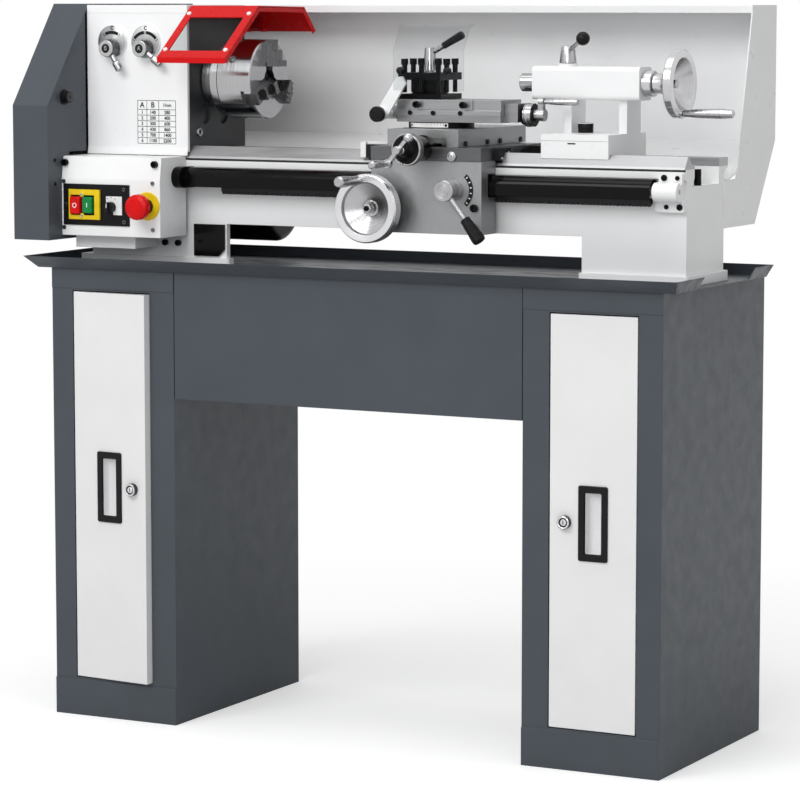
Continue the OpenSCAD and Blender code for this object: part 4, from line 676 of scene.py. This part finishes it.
# ---- Chuck guard ---------------------------------------------------------------------
# Folded sheet in glossy signal red that swings up on a rod. A clear pane is riveted under
# the opening of its sloping face.
dress("chuck_guard", finish("guard_red", paint, (0.56, 0.006, 0.007), rough=0.24, pebble=0.0018,
                            height=0.00002, mottle=0.04, edge=0.0014, wear=0.12))


def clear_sheet(tree, tint):
    """Clear plastic: mostly see-through, with a skin that mirrors at low angles."""
    through = step(tree, "ShaderNodeBsdfTransparent", {"Color": (*tint, 1)})
    skin = step(tree, "ShaderNodeBsdfPrincipled", {
        "Base Color": (0.03, 0.032, 0.033, 1),
        "Roughness": spread(tree, grain(tree, 26, 5), 0.03, 0.13),
        "Normal": relief(tree, grain(tree, 9, 2), 0.00004, 0.0008)})
    glance = step(tree, "ShaderNodeLayerWeight", {"Blend": 0.12}).outputs["Facing"]
    part = spread(tree, glance, 0.02, 0.5, 0.0, 1.0)
    return swap(tree, part, through.outputs["BSDF"], skin.outputs["BSDF"])


dress("guard_window", finish("guard_pane", clear_sheet, (0.90, 0.92, 0.92)))
rivet_white = finish("rivet_nylon", plastic, (0.78, 0.78, 0.77), rough=0.4)
slope_foot = at(206, -13, 1047.5)
slope_head = at(206, 90, 1126)
slope_way = (slope_head - slope_foot).normalized()
slope_out = Vector((0, -slope_way[2], slope_way[1]))
for i, (x, s) in enumerate(((6.5, 18.5), (114, 18.5), (6.5, 109), (114, 109))):
    spot = slope_foot + Vector((x / 1000, 0, 0)) + slope_way * s / 1000 + slope_out * 0.001
    turned(f"guard_rivet_{i}", [(0, 2.9), (1.8, 2.8), (3.4, 1.9), (3.7, -0.1)], spot, slope_out,
           rivet_white, "chuck_guard", 32)


# ---- Control box ---------------------------------------------------------------------
# White folded sheet with a black faceplate. Moulded buttons sit in a yellow surround; the
# emergency stop is a red mushroom on a black neck over a yellow disc.
dress("control_box", machine_white)
faceplate_black = finish("faceplate_black", plastic, (0.006, 0.006, 0.007), rough=0.4,
                         height=0.000008, edge=0.0008)
surround_yellow = finish("surround_yellow", plastic, (0.74, 0.52, 0.008), rough=0.32, pebble=0.0006,
                         height=0.00001, edge=0.0012)
selector_pale = finish("selector_plate_pale", plastic, (0.74, 0.75, 0.75), rough=0.4,
                       height=0.000006, edge=0.0008)
faceplate = rounded(121.5, 64.5, 0.8, 3)
plate_rings = [(faceplate, 0), (faceplate, 2.1), (rounded(120.7, 63.7, 0.5, 3), 2.5)]
switch_plate = stack("switch_faceplate", plate_rings,
                     facing_front(1.97, 83.8, 816.7), faceplate_black, "lathe")
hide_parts("switch_plate")


def frame_side(name, x0, x1, z0, z1):
    """One side of the moulded surround, with a softened top edge."""
    base = oblong(x0, x1, z0, z1)
    top = oblong(x0 + 0.5, x1 - 0.5, z0 + 0.5, z1 - 0.5)
    stack(name, [(base, 0), (base, 3.5), (top, 4.0)], facing_front(-0.55), surround_yellow, "lathe")


surround_z0, surround_z1 = 793.4, 840.6
opening_x0, opening_x1 = 38.4, 82.6
frame_side("surround_left", 35.25, opening_x0, surround_z0, surround_z1)
frame_side("surround_right", opening_x1, 92.5, surround_z0, surround_z1)
frame_side("surround_top", opening_x0, opening_x1, surround_z1 - 9, surround_z1)
frame_side("surround_foot", opening_x0, opening_x1, surround_z0, surround_z0 + 7)
for tag, z in (("top", 832.6), ("foot", 799.4)):
    turned("surround_boss_" + tag, [(0, 1.0), (3.2, 1.0), (3.9, 0.6), (4.2, 0)], at(60.0, -4.2, z),
           to_front, surround_yellow, "lathe", 28)
    screw_profile = [(0, 0.5), (1.0, 0.5), (1.2, 1.1), (2.1, 1.1), (2.4, 0.8), (2.4, 0)]
    turned("surround_screw_" + tag, screw_profile, at(60.0, -4.9, z),
           to_front, lever_chrome, "lathe", 24)
turned("estop_disc", [(11.4, 0), (22, 0), (22, 2.3), (21.4, 2.9), (11.4, 2.9)],
       at(177.5, 1.97, 817), to_front, surround_yellow, "lathe", 48)
selector_outline = [(103.2, 808), (116, 808), (116, 801.8), (132.2, 801.8), (132.2, 830.8),
                    (103.2, 830.8)]
print_shape("selector_plate", selector_outline, facing_front(-0.55), "lathe", selector_pale, 1.1)
for i, (x, z) in enumerate(((27.3, 817), (136, 842), (136, 791))):
    turned(f"faceplate_screw_{i}", [(0, 0.35), (1.3, 0.35), (1.5, 0)], at(x, -3.05, z), to_front,
           faceplate_black, "lathe", 16)
stop_red = finish("stop_red", plastic, (0.58, 0.006, 0.007), rough=0.25, pebble=0.0007,
                  height=0.00001, edge=0.0016)
start_green = finish("start_green", plastic, (0.0, 0.20, 0.045), rough=0.25, pebble=0.0007,
                     height=0.00001, edge=0.0016)


def push_cap(name, cx, cz, w, h, r, front, mat, body):
    """A moulded push cap: a stem behind the plate, rolled edges and a dished face."""
    sides = rounded(w, h, r, 5)
    layers = [(sides, 0), (sides, front - 2.6)]
    for less, back in ((0.5, 1.1), (2.0, 0.2), (3.2, 0), (6.0, 0.6)):
        layers.append((rounded(w - less, h - less, r, 5), front - back))
    layers.append((rounded(2, 2, 0.6, 5), front - 0.9))
    piece = stack(name, layers, facing_front(7.9, cx, cz), mat, body)
    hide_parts(body)


stop_x, stop_z = 49.2, 815.7
start_x, start_z = 71.4, 816.3
push_cap("stop_cap", stop_x, stop_z, 18.5, 27, 3, 17.9, stop_red, "stop_button")
push_cap("start_cap", start_x, start_z, 17.4, 25.5, 2, 16.7, start_green, "start_button")
mark_white = finish("button_mark_white", plastic, (0.85, 0.85, 0.85), rough=0.4)
print_shape("stop_mark", arc_band(stop_x, stop_z, 2.7, 3.9, 0, 359.9, 40), facing_front(-9.2),
            "stop_button", mark_white, 0.25)
print_shape("start_mark", rounded(1.3, 7, 0.5, 3), facing_front(-8.0, start_x, start_z),
            "start_button", mark_white, 0.3)
dress("selector_knob", finish("selector_black", plastic, (0.012, 0.012, 0.013), rough=0.36,
                              pebble=0.0006, edge=0.0012))
print_shape("selector_pointer", rounded(1.2, 7, 0.5, 3), facing_front(-17.0, 113, 817), "selector",
            mark_white, 0.12)
for i, (x, z) in enumerate(((106, 827), (113, 829), (120, 827))):
    print_shape(f"selector_mark_{i}", rounded(1.6, 1.6, 0.7, 4), facing_front(-1.72, x, z),
                "lathe", thick=0.08)
mat, tree = start_finish("estop_finishes")
mushroom = plastic(tree, (0.62, 0.006, 0.007), rough=0.24, pebble=0.0007, height=0.00001,
                   edge=0.0012)
neck = plastic(tree, (0.012, 0.012, 0.013), rough=0.4)
neck_zone = zone(tree, Y, y_of(-19.9), far)
dress("estop_button", close_finish(mat, tree, swap(tree, neck_zone, mushroom, neck)))


# ---- Rear splash guard ---------------------------------------------------------------
# Folded white sheet behind the machine, with a shelf on top, a chute down to the bed and a
# welded end cheek.
dress("rear_guard", machine_white)


# ---- Saddle and apron ----------------------------------------------------------------
# Iron castings, ground on the working faces and clear-lacquered in front. The arc plate
# beside the half-nut hub is anodised black with white marks.
mat, tree = start_finish("saddle_finishes")
# The saddle takes a much darker copy of the ground iron than the apron and the slides: painted
# shade under the cross slide.
saddle_shaded_steel = metal(tree, (0.13, 0.132, 0.136), rough=0.36, stretch=(0.08, 1, 1), scale=260,
                     height=0.000014, edge=0.0008)
wiper_dark = plastic(tree, (0.014, 0.0145, 0.016), rough=0.5)
left_wiper = swap(tree, zone(tree, X, -far, x_of(556.9)), saddle_shaded_steel, wiper_dark)
# Right of the saddle's end all is dark: the front wiper bracket is black, and the dark of the rear
# block is painted shade on the rear wing.
right_end_black_and_shade = zone(tree, X, x_of(742.005), far)
dress("saddle", close_finish(mat, tree, swap(tree, right_end_black_and_shade, left_wiper, wiper_dark)))
for i, (x, y, z) in enumerate(((750, 84, 900), (750, 107, 908), (770, 220, 909))):
    turned(f"wiper_screw_{i}", [(0, 1.4), (1.8, 1.2), (2.4, 0.4), (2.4, -0.2)], at(x, y, z),
           to_right, lever_chrome, "carriage", 24)
mat, tree = start_finish("apron_finishes")
apron_skin = metal(tree, (0.31, 0.313, 0.318), rough=0.44, stretch=(1, 1, 0.3), scale=160,
                   height=0.00001, edge=0.001, stain=0.1)
bolt_skin = metal(tree, (0.016, 0.016, 0.017), rough=0.4)
bolt_zone = zone(tree, Y, -far, y_of(29.95))
dress("apron", close_finish(mat, tree, swap(tree, bolt_zone, apron_skin, bolt_skin)))
plate_x0, roof_x1, plate_z1 = 513.5, 556.9, 921
on_saddle = facing_front(75.9)
plate = oblong(plate_x0, 522.9, 897.5, plate_z1)
stack("left_wiper_plate", [(plate, 0), (plate, -6)], on_saddle, machine_white, "carriage")
roof = oblong(plate_x0, roof_x1, 917.2, plate_z1)
stack("left_wiper_roof", [(roof, -6.05), (roof, -37.5)], on_saddle, machine_white, "carriage")
turned("saddle_oil_plug", [(0, 0.8), (3.8, 0.8), (4.4, 0.2), (6.6, 0.2), (7.4, -0.6), (7.4, -3.2)],
       at(694, 24.5, 904), to_front, lever_chrome, "carriage", 40)
nut_x, nut_z = 696, 854
on_apron = facing_front(29.95)
print_shape("half_nut_scale", arc_band(nut_x, nut_z, 26, 32.5, -48, 48, 30), on_apron, "carriage",
            thick=0.7)
for i, a in enumerate(range(-40, 41, 16)):
    print_shape(f"half_nut_tick_{i}", arc_band(nut_x, nut_z, 27.6, 30.8, a - 1.5, a + 1.5, 3),
                facing_front(29.2), "carriage", mark_white, 0.08)


# ---- Carriage handwheel --------------------------------------------------------------
# Dished and polished, nutted on its shaft. The grip is turned steel and spins on its pin.


def near_axis(tree, centre, axis, radius):
    """1 where the place lies within that many metres of the axis."""
    away = vector(tree, "LENGTH", off_axis(tree, centre, axis), result="Value")
    return number(tree, "LESS_THAN", away, radius)


mat, tree = start_finish("handwheel_polish")
wheel_x, wheel_z = 569, 825
wheel_middle = at(wheel_x, 0, wheel_z)
# The dish takes a darker copy of the rim's polish, with lobes of painted shade and highlight across
# it.
rim_face = turned_metal(tree, (0.72, 0.72, 0.73), wheel_middle, Y, height=0.00002)
dish = turned_metal(tree, (0.50, 0.50, 0.51), wheel_middle, Y, rough=0.26, height=0.00003,
                    lobes=((0.75, 0, 0.66), 0.35, 1.0))
in_dish = near_axis(tree, wheel_middle, Y, 0.0398)
dress("carriage_wheel", close_finish(mat, tree, swap(tree, in_dish, rim_face, dish)))
grip_steel = finish("grip_steel", metal, (0.44, 0.44, 0.448), rough=0.24, stretch=(1, 0.15, 1),
                    scale=260, height=0.00001, edge=0.001)
for name in ("carriage_grip", "cross_grip", "top_grip", "tailstock_grip"):
    dress(name, grip_steel)


def hexagon(across, turn=0.0):
    r = across / math.sqrt(3)
    turns = [math.radians(60 * i + turn) for i in range(6)]
    return [(r * math.cos(a), r * math.sin(a)) for a in turns]


def wheel_nut(name, place, body, across=13):
    stack(name, [(hexagon(across - 1.4), 7.5), (hexagon(across), 6.8), (hexagon(across), 0.0)],
          place, lever_chrome, body)


wheel_nut("carriage_wheel_nut", facing_front(-0.9, wheel_x, wheel_z), "carriage_wheel")
turned("carriage_wheel_stud", [(0, 10.4), (3.4, 10.0), (4.0, 9.2), (4.0, 6.5)],
       at(wheel_x, -1, wheel_z), to_front, blackened, "carriage_wheel", 32)


# ---- Half nut and its lever ----------------------------------------------------------
# The nut is brass. Its lever is a turned steel hub with a screwed-in rod and a fluted black
# grip that widens to its end.
dress("half_nut", finish("nut_brass", metal, (0.62, 0.44, 0.18), rough=0.3))


def fluted_grip(name, start, axis, length, r0, r1, body, flutes=8):
    """Moulded grip: scalloped sides, domed end, running out from start along axis."""
    place = round_axis(start, axis)
    swell = r1 - r0
    shape = [(0.0, r0 * 0.86, 0), (0.03, r0, 0), (0.12, r0, 0.4), (0.3, r0 + swell * 0.3, 1),
             (0.6, r0 + swell * 0.65, 1), (0.84, r1, 1), (0.93, r1 * 0.97, 0.4),
             (0.98, r1 * 0.84, 0), (1.0, r1 * 0.62, 0)]
    bm = bmesh.new()
    count = flutes * 8
    rows = []
    for t, r, cut in shape:
        row = []
        for i in range(count):
            a = 2 * math.pi * i / count
            dip = 1 - 0.13 * cut * (0.5 - 0.5 * math.cos(a * flutes)) ** 2
            row.append(bm.verts.new(place(a, r * dip, length * t)))
        rows.append(row)
    join_rings(bm, rows)
    return new_piece(name, bm, handle_black, body)


handle_black = finish("handle_black", plastic, (0.009, 0.009, 0.010), rough=0.26, pebble=0.0008,
                      height=0.00001, edge=0.0008)
hub = at(nut_x, 0, nut_z)
rod_foot = hub + Vector((0, 0.003, 0))
lever_way = tilted(-52)
nut_hub_steel = finish("half_nut_hub_steel", turned_metal, (0.42, 0.42, 0.428), hub, Y, rough=0.26)
nut_hub_profile = [(0, 6.0), (8.6, 6.0), (8.8, 5.6), (9.6, 5.6), (9.8, 6.0), (15.2, 6.0), (16, 5.2),
                   (16, -29.5)]
nut_hub = turned("half_nut_hub", nut_hub_profile,
                 hub, to_front, nut_hub_steel, "half_nut_lever", 72)
nut_rod = turned("half_nut_rod", [(4, 10), (4, 54)], rod_foot, lever_way, lever_chrome,
                 "half_nut_lever", 28)
nut_grip = fluted_grip("half_nut_grip", rod_foot + lever_way * 0.052, lever_way, 42, 8, 10.5,
                       "half_nut_lever")
for piece in (nut_hub, nut_rod, nut_grip):
    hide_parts("half_nut_lever")


# ---- Cross slide and its crank -------------------------------------------------------
# Ground iron, with four blackened gib screws on the right. The crank is chromed steel with
# a ball weight, and turns a knurled dial.
mat, tree = start_finish("cross_slide_finishes")
slide_steel = metal(tree, (0.30, 0.303, 0.308), rough=0.33, stretch=(1, 0.06, 1), scale=260,
                    edge=0.0008)
head_black = metal(tree, (0.012, 0.012, 0.013), rough=0.4)
head_zone = zone(tree, X, x_of(701.005), far)
dress("cross_slide", close_finish(mat, tree, swap(tree, head_zone, slide_steel, head_black)))
mat, tree = start_finish("cross_crank_finishes")
crank_x, crank_z = 641.5, 915
crank_middle = at(crank_x, 0, crank_z)
crank_bright = turned_metal(tree, (0.46, 0.46, 0.468), crank_middle, Y, rough=0.18)
bush_dark = metal(tree, (0.016, 0.016, 0.017), rough=0.3)
bush_zone = zone(tree, Y, y_of(-8.05), far)
shader = swap(tree, bush_zone, crank_bright, bush_dark)
cone_zone = both_zones(tree, near_axis(tree, crank_middle, Y, 0.0207),
                       zone(tree, Y, y_of(-38.5), y_of(-18.9)))
dress("cross_crank", close_finish(mat, tree, swap(tree, cone_zone, shader, bush_dark)))


def knurl(name, origin, axis, radius, width, mat, body, count=72):
    """Band of straight knurling round a dial."""
    place = round_axis(origin, axis)
    bm = bmesh.new()
    rows = []
    for d, ridged in ((0, False), (0.4, True), (width - 0.4, True), (width, False)):
        row = []
        for i in range(count * 2):
            r = radius + (0.55 if i % 2 and ridged else 0.1)
            row.append(bm.verts.new(place(math.pi * i / count, r, d)))
        rows.append(row)
    join_rings(bm, rows)
    return new_piece(name, bm, mat, body)


dial_grey = finish("dial_grey_steel", metal, (0.16, 0.16, 0.165), rough=0.3, stretch=(1, 0.1, 1),
                   scale=240, height=0.000006, edge=0.0003)
knurl("cross_dial_knurl", at(crank_x, -16.5, crank_z), (0, 1, 0), 24, 7, dial_grey, "cross_crank",
      90)


# ---- Swivel base and top slide -------------------------------------------------------
# The swivel's disc is blackened, with a white graduated plate screwed on its front. The
# slide above is ground steel on a dovetail, with blackened gib screws.
mat, tree = start_finish("swivel_finishes")
base_steel = metal(tree, (0.27, 0.272, 0.277), rough=0.34, stretch=(0.06, 1, 1), scale=260,
                   edge=0.0008)
disc_black = metal(tree, (0.012, 0.012, 0.013), rough=0.38)
swivel_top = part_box("swivel_base")[0][2] + 0.009
dark_zone = zone(tree, Z, 0, swivel_top)
shader = swap(tree, dark_zone, base_steel, disc_black)
shader = swap(tree, zone(tree, X, x_of(767.005), far), shader, disc_black)
dress("swivel_base", close_finish(mat, tree, shader))
mat, tree = start_finish("top_slide_finishes")
top_steel = metal(tree, (0.33, 0.333, 0.338), rough=0.32, stretch=(0.06, 1, 1), scale=260,
                  edge=0.0008)
gib_black = metal(tree, (0.012, 0.012, 0.013), rough=0.4)
low_heads = zone(tree, Y, -far, y_of(87.95))
dress("top_slide", close_finish(mat, tree, swap(tree, low_heads, top_steel, gib_black)))
for i, x in enumerate((606, 685)):
    stack(f"clamp_screw_socket_{i}", [(hexagon(5.4, 30), -4.6), (hexagon(5.4, 30), -4.9)],
          facing_front(79, x, 978.7), blackened, "top_slide")
swivel_x, swivel_y = 628, 124
scale_r = 51.2
scale_section = ((scale_r, 944.6), (scale_r, 951.0), (scale_r - 1.15, 951.0),
                 (scale_r - 1.15, 944.6))
bm = bmesh.new()
rows = []
for i in range(33):
    a = math.radians(232 + 76 * i / 32)
    rows.append([bm.verts.new(at(swivel_x + r * math.cos(a), swivel_y + r * math.sin(a), z))
                 for r, z in scale_section])
join_rings(bm, rows)
new_piece("swivel_scale", bm, rivet_white, "swivel")
for i in range(13):
    a = math.radians(240 + 5 * i)
    out = Vector((math.cos(a), math.sin(a), 0))
    side = Vector((-out[1], out[0], 0))
    foot = at(swivel_x, swivel_y, 948.4) + out * scale_r / 1000
    half, tall = 0.00022, 0.0014 if i % 2 else 0.0022
    corners = [foot + side * u + Vector((0, 0, v)) for u, v in oblong(-half, half, 0, tall)]
    bm = bmesh.new()
    join_rings(bm, [[bm.verts.new(p + out * lift) for p in corners]
                    for lift in (0.00008, -0.00012)])
    new_piece(f"swivel_tick_{i:02d}", bm, print_black, "swivel", False)
for i, a in enumerate((236, 304)):
    out = Vector((math.cos(math.radians(a)), math.sin(math.radians(a)), 0))
    turned(f"swivel_scale_screw_{i}", [(0, 0.9), (1.3, 0.8), (1.9, 0.2), (1.9, -0.2)],
           at(swivel_x, swivel_y, 947.8) + out * scale_r / 1000, out, blackened, "swivel", 24)
mat, tree = start_finish("top_crank_steel")
crank_skin = turned_metal(tree, (0.44, 0.44, 0.448), at(790, 124, 964), X)
crank_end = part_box("top_crank")[1][0]
dial_face = zone(tree, X, crank_end - 0.0573, crank_end - 0.0560)
dial_black = plastic(tree, (0.008, 0.008, 0.009), rough=0.3)
dress("top_crank", close_finish(mat, tree, swap(tree, dial_face, crank_skin, dial_black)))
knurl("top_dial_knurl", at(773.5, 124, 964.2), to_right, 17.5, 4.5, lever_chrome, "top_crank", 60)


# ---- Tool post and its lever ---------------------------------------------------------
# A blackened steel block with eight clamping screws. It is locked by a steel cone nut with a
# slanted rod and a fluted black grip.
dress("tool_post", blackened)
to_top = (0, 0, 1)
post = at(607, 126, 0)
cone_steel = finish("cone_nut_steel", turned_metal, (0.44, 0.44, 0.448), post, Z)
cone_profile = [(0, 35), (6.4, 35), (7.8, 34), (8.2, 31), (10.1, 4), (10.5, 0), (7, 0), (7, -42)]
cone = turned("post_cone_nut", cone_profile,
              at(607, 126, 1029.2), to_top, cone_steel, "tool_post_lever")
rise = tilted(28)
lever_foot = at(607, 126, 1054.2)
rod = turned("post_lever_rod", [(4, 2), (4.2, 34)], lever_foot, rise, lever_chrome,
             "tool_post_lever", 28)
grip = fluted_grip("post_lever_grip", lever_foot + rise * 0.026, rise, 38, 5.4, 6.5,
                   "tool_post_lever", 7)
for piece in (cone, rod, grip):
    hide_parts("tool_post_lever")


# ---- Tool shield ---------------------------------------------------------------------
# A bent pane of clear plastic on a white arm that tilts about a black hand knob. Small
# black caps cover its screws.
dress("tool_shield", finish("shield_pane", clear_sheet, (0.965, 0.975, 0.975)))
dress("shield_arm", machine_white)
arm_knob = at(557, 53.9, 964.2)
knurl("shield_knob_rim", arm_knob, to_front, 11.4, 9, handle_black, "tool_shield", 28)
turned("shield_knob_face", [(0, 0.6), (7, 0.6), (10.5, 0.1), (11.4, -0.8)], at(557, 44.9, 964.2),
       to_front, handle_black, "tool_shield")
for i, (x, z) in enumerate(((592, 1030), (671, 1030))):
    turned(f"shield_cap_{i}", [(0, 3.4), (3.6, 3.0), (5.4, 1.6), (5.8, -5)], at(x, 55.5, z),
           to_front, handle_black, "tool_shield", 32)


# ---- Tailstock -----------------------------------------------------------------------
# White enamelled casting with a window under its barrel, on a sole that slides on the ways.
# The quill is ground steel; a black cap nut clamps the foot.
dress("tailstock", machine_white)
seam_grey = finish("seam_shadow_grey", plastic, (0.30, 0.30, 0.31), rough=0.6)
cap_profile = [(0, 15.2), (8, 15.2), (11.2, 14.4), (11.8, 13.2), (11.8, 7.0), (11.6, 6.2),
               (11.6, 0.0)]
turned("clamp_cap", cap_profile, at(850, 165, 937.6), to_top, handle_black,
       "tailstock")
dress("quill", finish("quill_steel", turned_metal, (0.38, 0.38, 0.388), on_spindle(800), X,
                      rough=0.16))
mat, tree = start_finish("tail_wheel_polish")
tail_middle = on_spindle(1000)
# The dish takes a darker copy of the polish, with lobes of painted shade and highlight across it.
tail_rim = turned_metal(tree, (0.60, 0.60, 0.61), tail_middle, X, height=0.00002)
tail_dish = turned_metal(tree, (0.52, 0.52, 0.53), tail_middle, X, rough=0.22, height=0.00003,
                         lobes=((0, -0.6, 0.8), 0.16, 1.0))
in_dish = both_zones(tree, near_axis(tree, tail_middle, X, 0.0388), zone(tree, X, x_of(984), far))
wheel_steel = close_finish(mat, tree, swap(tree, in_dish, tail_rim, tail_dish))
wheel_profile = [(0, 45), (6.6, 45), (7.2, 44.4), (7.2, 39.5), (13, 39.6), (16, 41), (36.8, 57.6),
                 (38.2, 60.6), (40, 62), (49, 62), (51, 60), (51, 50), (49, 48), (42, 48), (19, 33),
                 (16, 31.6), (15, 30), (15, 17), (12, 16), (19, 15), (19.5, 14.4), (19.5, 0.9),
                 (19, 0.25), (0, 0.25)]
tail_wheel = turned("tail_wheel", wheel_profile, on_spindle(947), to_right, wheel_steel,
                    "tailstock_wheel", 96)
tail_pin = turned("tail_wheel_pin", [(0, 0), (3, 0), (3, 62), (2.6, 62.6), (0, 62.6)],
                  at(1000.4, 165, 969), to_right, lever_chrome, "tailstock_wheel", 32)
tail_screw = turned("tail_screw", [(0, 0), (7, 0), (8, 1), (8, 102), (0, 102)], on_spindle(846),
                    to_right, wheel_steel, "tailstock_wheel", 40)
for piece in (tail_wheel, tail_pin, tail_screw):
    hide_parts("tailstock_wheel")
wheel_nut("tail_wheel_nut", lambda y, z, d: at(990.6 + d, 165 + y, 1012 + z), "tailstock_wheel", 12)
print_shape("sole_mark", rounded(13, 2.0, 0.5, 3), facing_front(87.95, 862, 924), "tailstock")
print_shape("sole_seam", oblong(812.2, 921.8, 927.7, 928.2), facing_front(87.97), "tailstock",
            seam_grey, 0.06)
lock_base = at(820, 165, 1041.4)
lock_foot = at(820, 165, 1059)
lock_profile = [(0, 26), (8, 26), (9.6, 25), (10.2, 23), (13, 1), (13, 0), (5, 0), (5, -12)]
lock_hub = turned("quill_lock_hub", lock_profile, lock_base,
                  to_top, lever_chrome, "quill_lock")
lock_turn = Matrix.Rotation(math.radians(-44), 3, "Z") @ Matrix.Rotation(math.radians(72), 3, "Y")
lock_way = lock_turn @ Vector(to_top)
lock_rod = turned("quill_lock_rod", [(3.5, 4), (3.5, 58)], lock_foot, lock_way, lever_chrome,
                  "quill_lock", 28)
ball_r = 10.5
ball = [(0.0, -ball_r)]
for a in range(-75, 90, 15):
    ball.append((ball_r * math.cos(math.radians(a)), ball_r * math.sin(math.radians(a))))
ball.append((0.0, ball_r))
lock_ball = turned("quill_lock_ball", ball, lock_foot + lock_way * 0.064, lock_way, handle_black,
                   "quill_lock", 40)
for piece in (lock_hub, lock_rod, lock_ball):
    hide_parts("quill_lock")


# ---- Room: pale floor, soft lamps and the camera -------------------------------------
# A seamless pale floor carries the soft shadow of the stand. Four wide lamps light the
# front, the top and the right side, and the world fills the rest.
def any_ray(tree, path):
    """1 for a ray that shows the backdrop itself: seen, mirrored or let through."""
    mirrored = number(tree, "MAXIMUM", path.outputs["Is Camera Ray"], path.outputs["Is Glossy Ray"])
    return number(tree, "MAXIMUM", mirrored, path.outputs["Is Transmission Ray"])


bm = bmesh.new()
bm.faces.new([bm.verts.new(v) for v in ((-16, -9, 0), (16, -9, 0), (16, 26, 0), (-16, 26, 0))])
floor_mesh = bpy.data.meshes.new("floor")
bm.to_mesh(floor_mesh)
bm.free()
floor = link_up("floor", floor_mesh)
mat, tree = start_finish("pale_floor")
floor_tone = tone(tree, grain(tree, 3, 3), (0.84, 0.84, 0.845), (0.88, 0.88, 0.88))
matt = step(tree, "ShaderNodeBsdfPrincipled", {"Roughness": 0.7, "Base Color": floor_tone})
rays = step(tree, "ShaderNodeLightPath", {})
near_strength = number(tree, "MULTIPLY", rays.outputs["Is Camera Ray"], 0.36)
near_glow = step(tree, "ShaderNodeEmission", {"Strength": near_strength}).outputs["Emission"]
lift = step(tree, "ShaderNodeAddShader", {0: matt.outputs["BSDF"], 1: near_glow}).outputs["Shader"]
far_out = vector(tree, "LENGTH", object_place(tree), result="Value")
fade = spread(tree, far_out, 0.0, 1.0, 0.7, 1.7)
glow = step(tree, "ShaderNodeEmission", {"Strength": 1.0}).outputs["Emission"]
seen = number(tree, "MULTIPLY", any_ray(tree, rays), fade)
floor.data.materials.append(close_finish(mat, tree, swap(tree, seen, lift, glow)))

world = bpy.data.worlds.new("studio")
bpy.context.scene.world = world
world.use_nodes = True
air = world.node_tree
air.nodes.clear()
shown = any_ray(air, step(air, "ShaderNodeLightPath", {}))
strength = spread(air, shown, 0.42, 1.0, 0.0, 1.0)
sky = step(air, "ShaderNodeBackground", {"Color": (1, 1, 1, 1), "Strength": strength})
step(air, "ShaderNodeOutputWorld", {"Surface": sky.outputs["Background"]})


def lamp(name, spot, aim, size, power):
    light = bpy.data.lights.new(name, "AREA")
    light.shape = "RECTANGLE"
    light.size, light.size_y = size
    light.energy = power
    holder = link_up(name, light)
    holder.location = spot
    holder.rotation_euler = (Vector(aim) - Vector(spot)).to_track_quat("-Z", "Y").to_euler()


lamp("key_lamp", (-0.5, -2.5, 2.6), (0, 0, 0.95), (2.0, 1.2), 44)
lamp("front_lamp", (1.3, -3.6, 1.9), (0, 0, 1.0), (1.2, 1.6), 22)
lamp("top_lamp", (0.2, -0.4, 3.6), (0, 0, 0.9), (2.8, 1.6), 30)
lamp("side_lamp", (4.0, 0.2, 2.0), (0.3, 0, 0.8), (1.2, 2.4), 2)

eye = bpy.data.cameras.new("camera")
eye.lens = 153
eye.sensor_width = 36
camera = link_up("camera", eye)
camera.location = at(2978, -4500, 1132)
camera.rotation_euler = (math.radians(90 - 6.67), 0, math.radians(27.64))
bpy.context.scene.camera = camera
bpy.context.scene.view_settings.view_transform = "Standard"
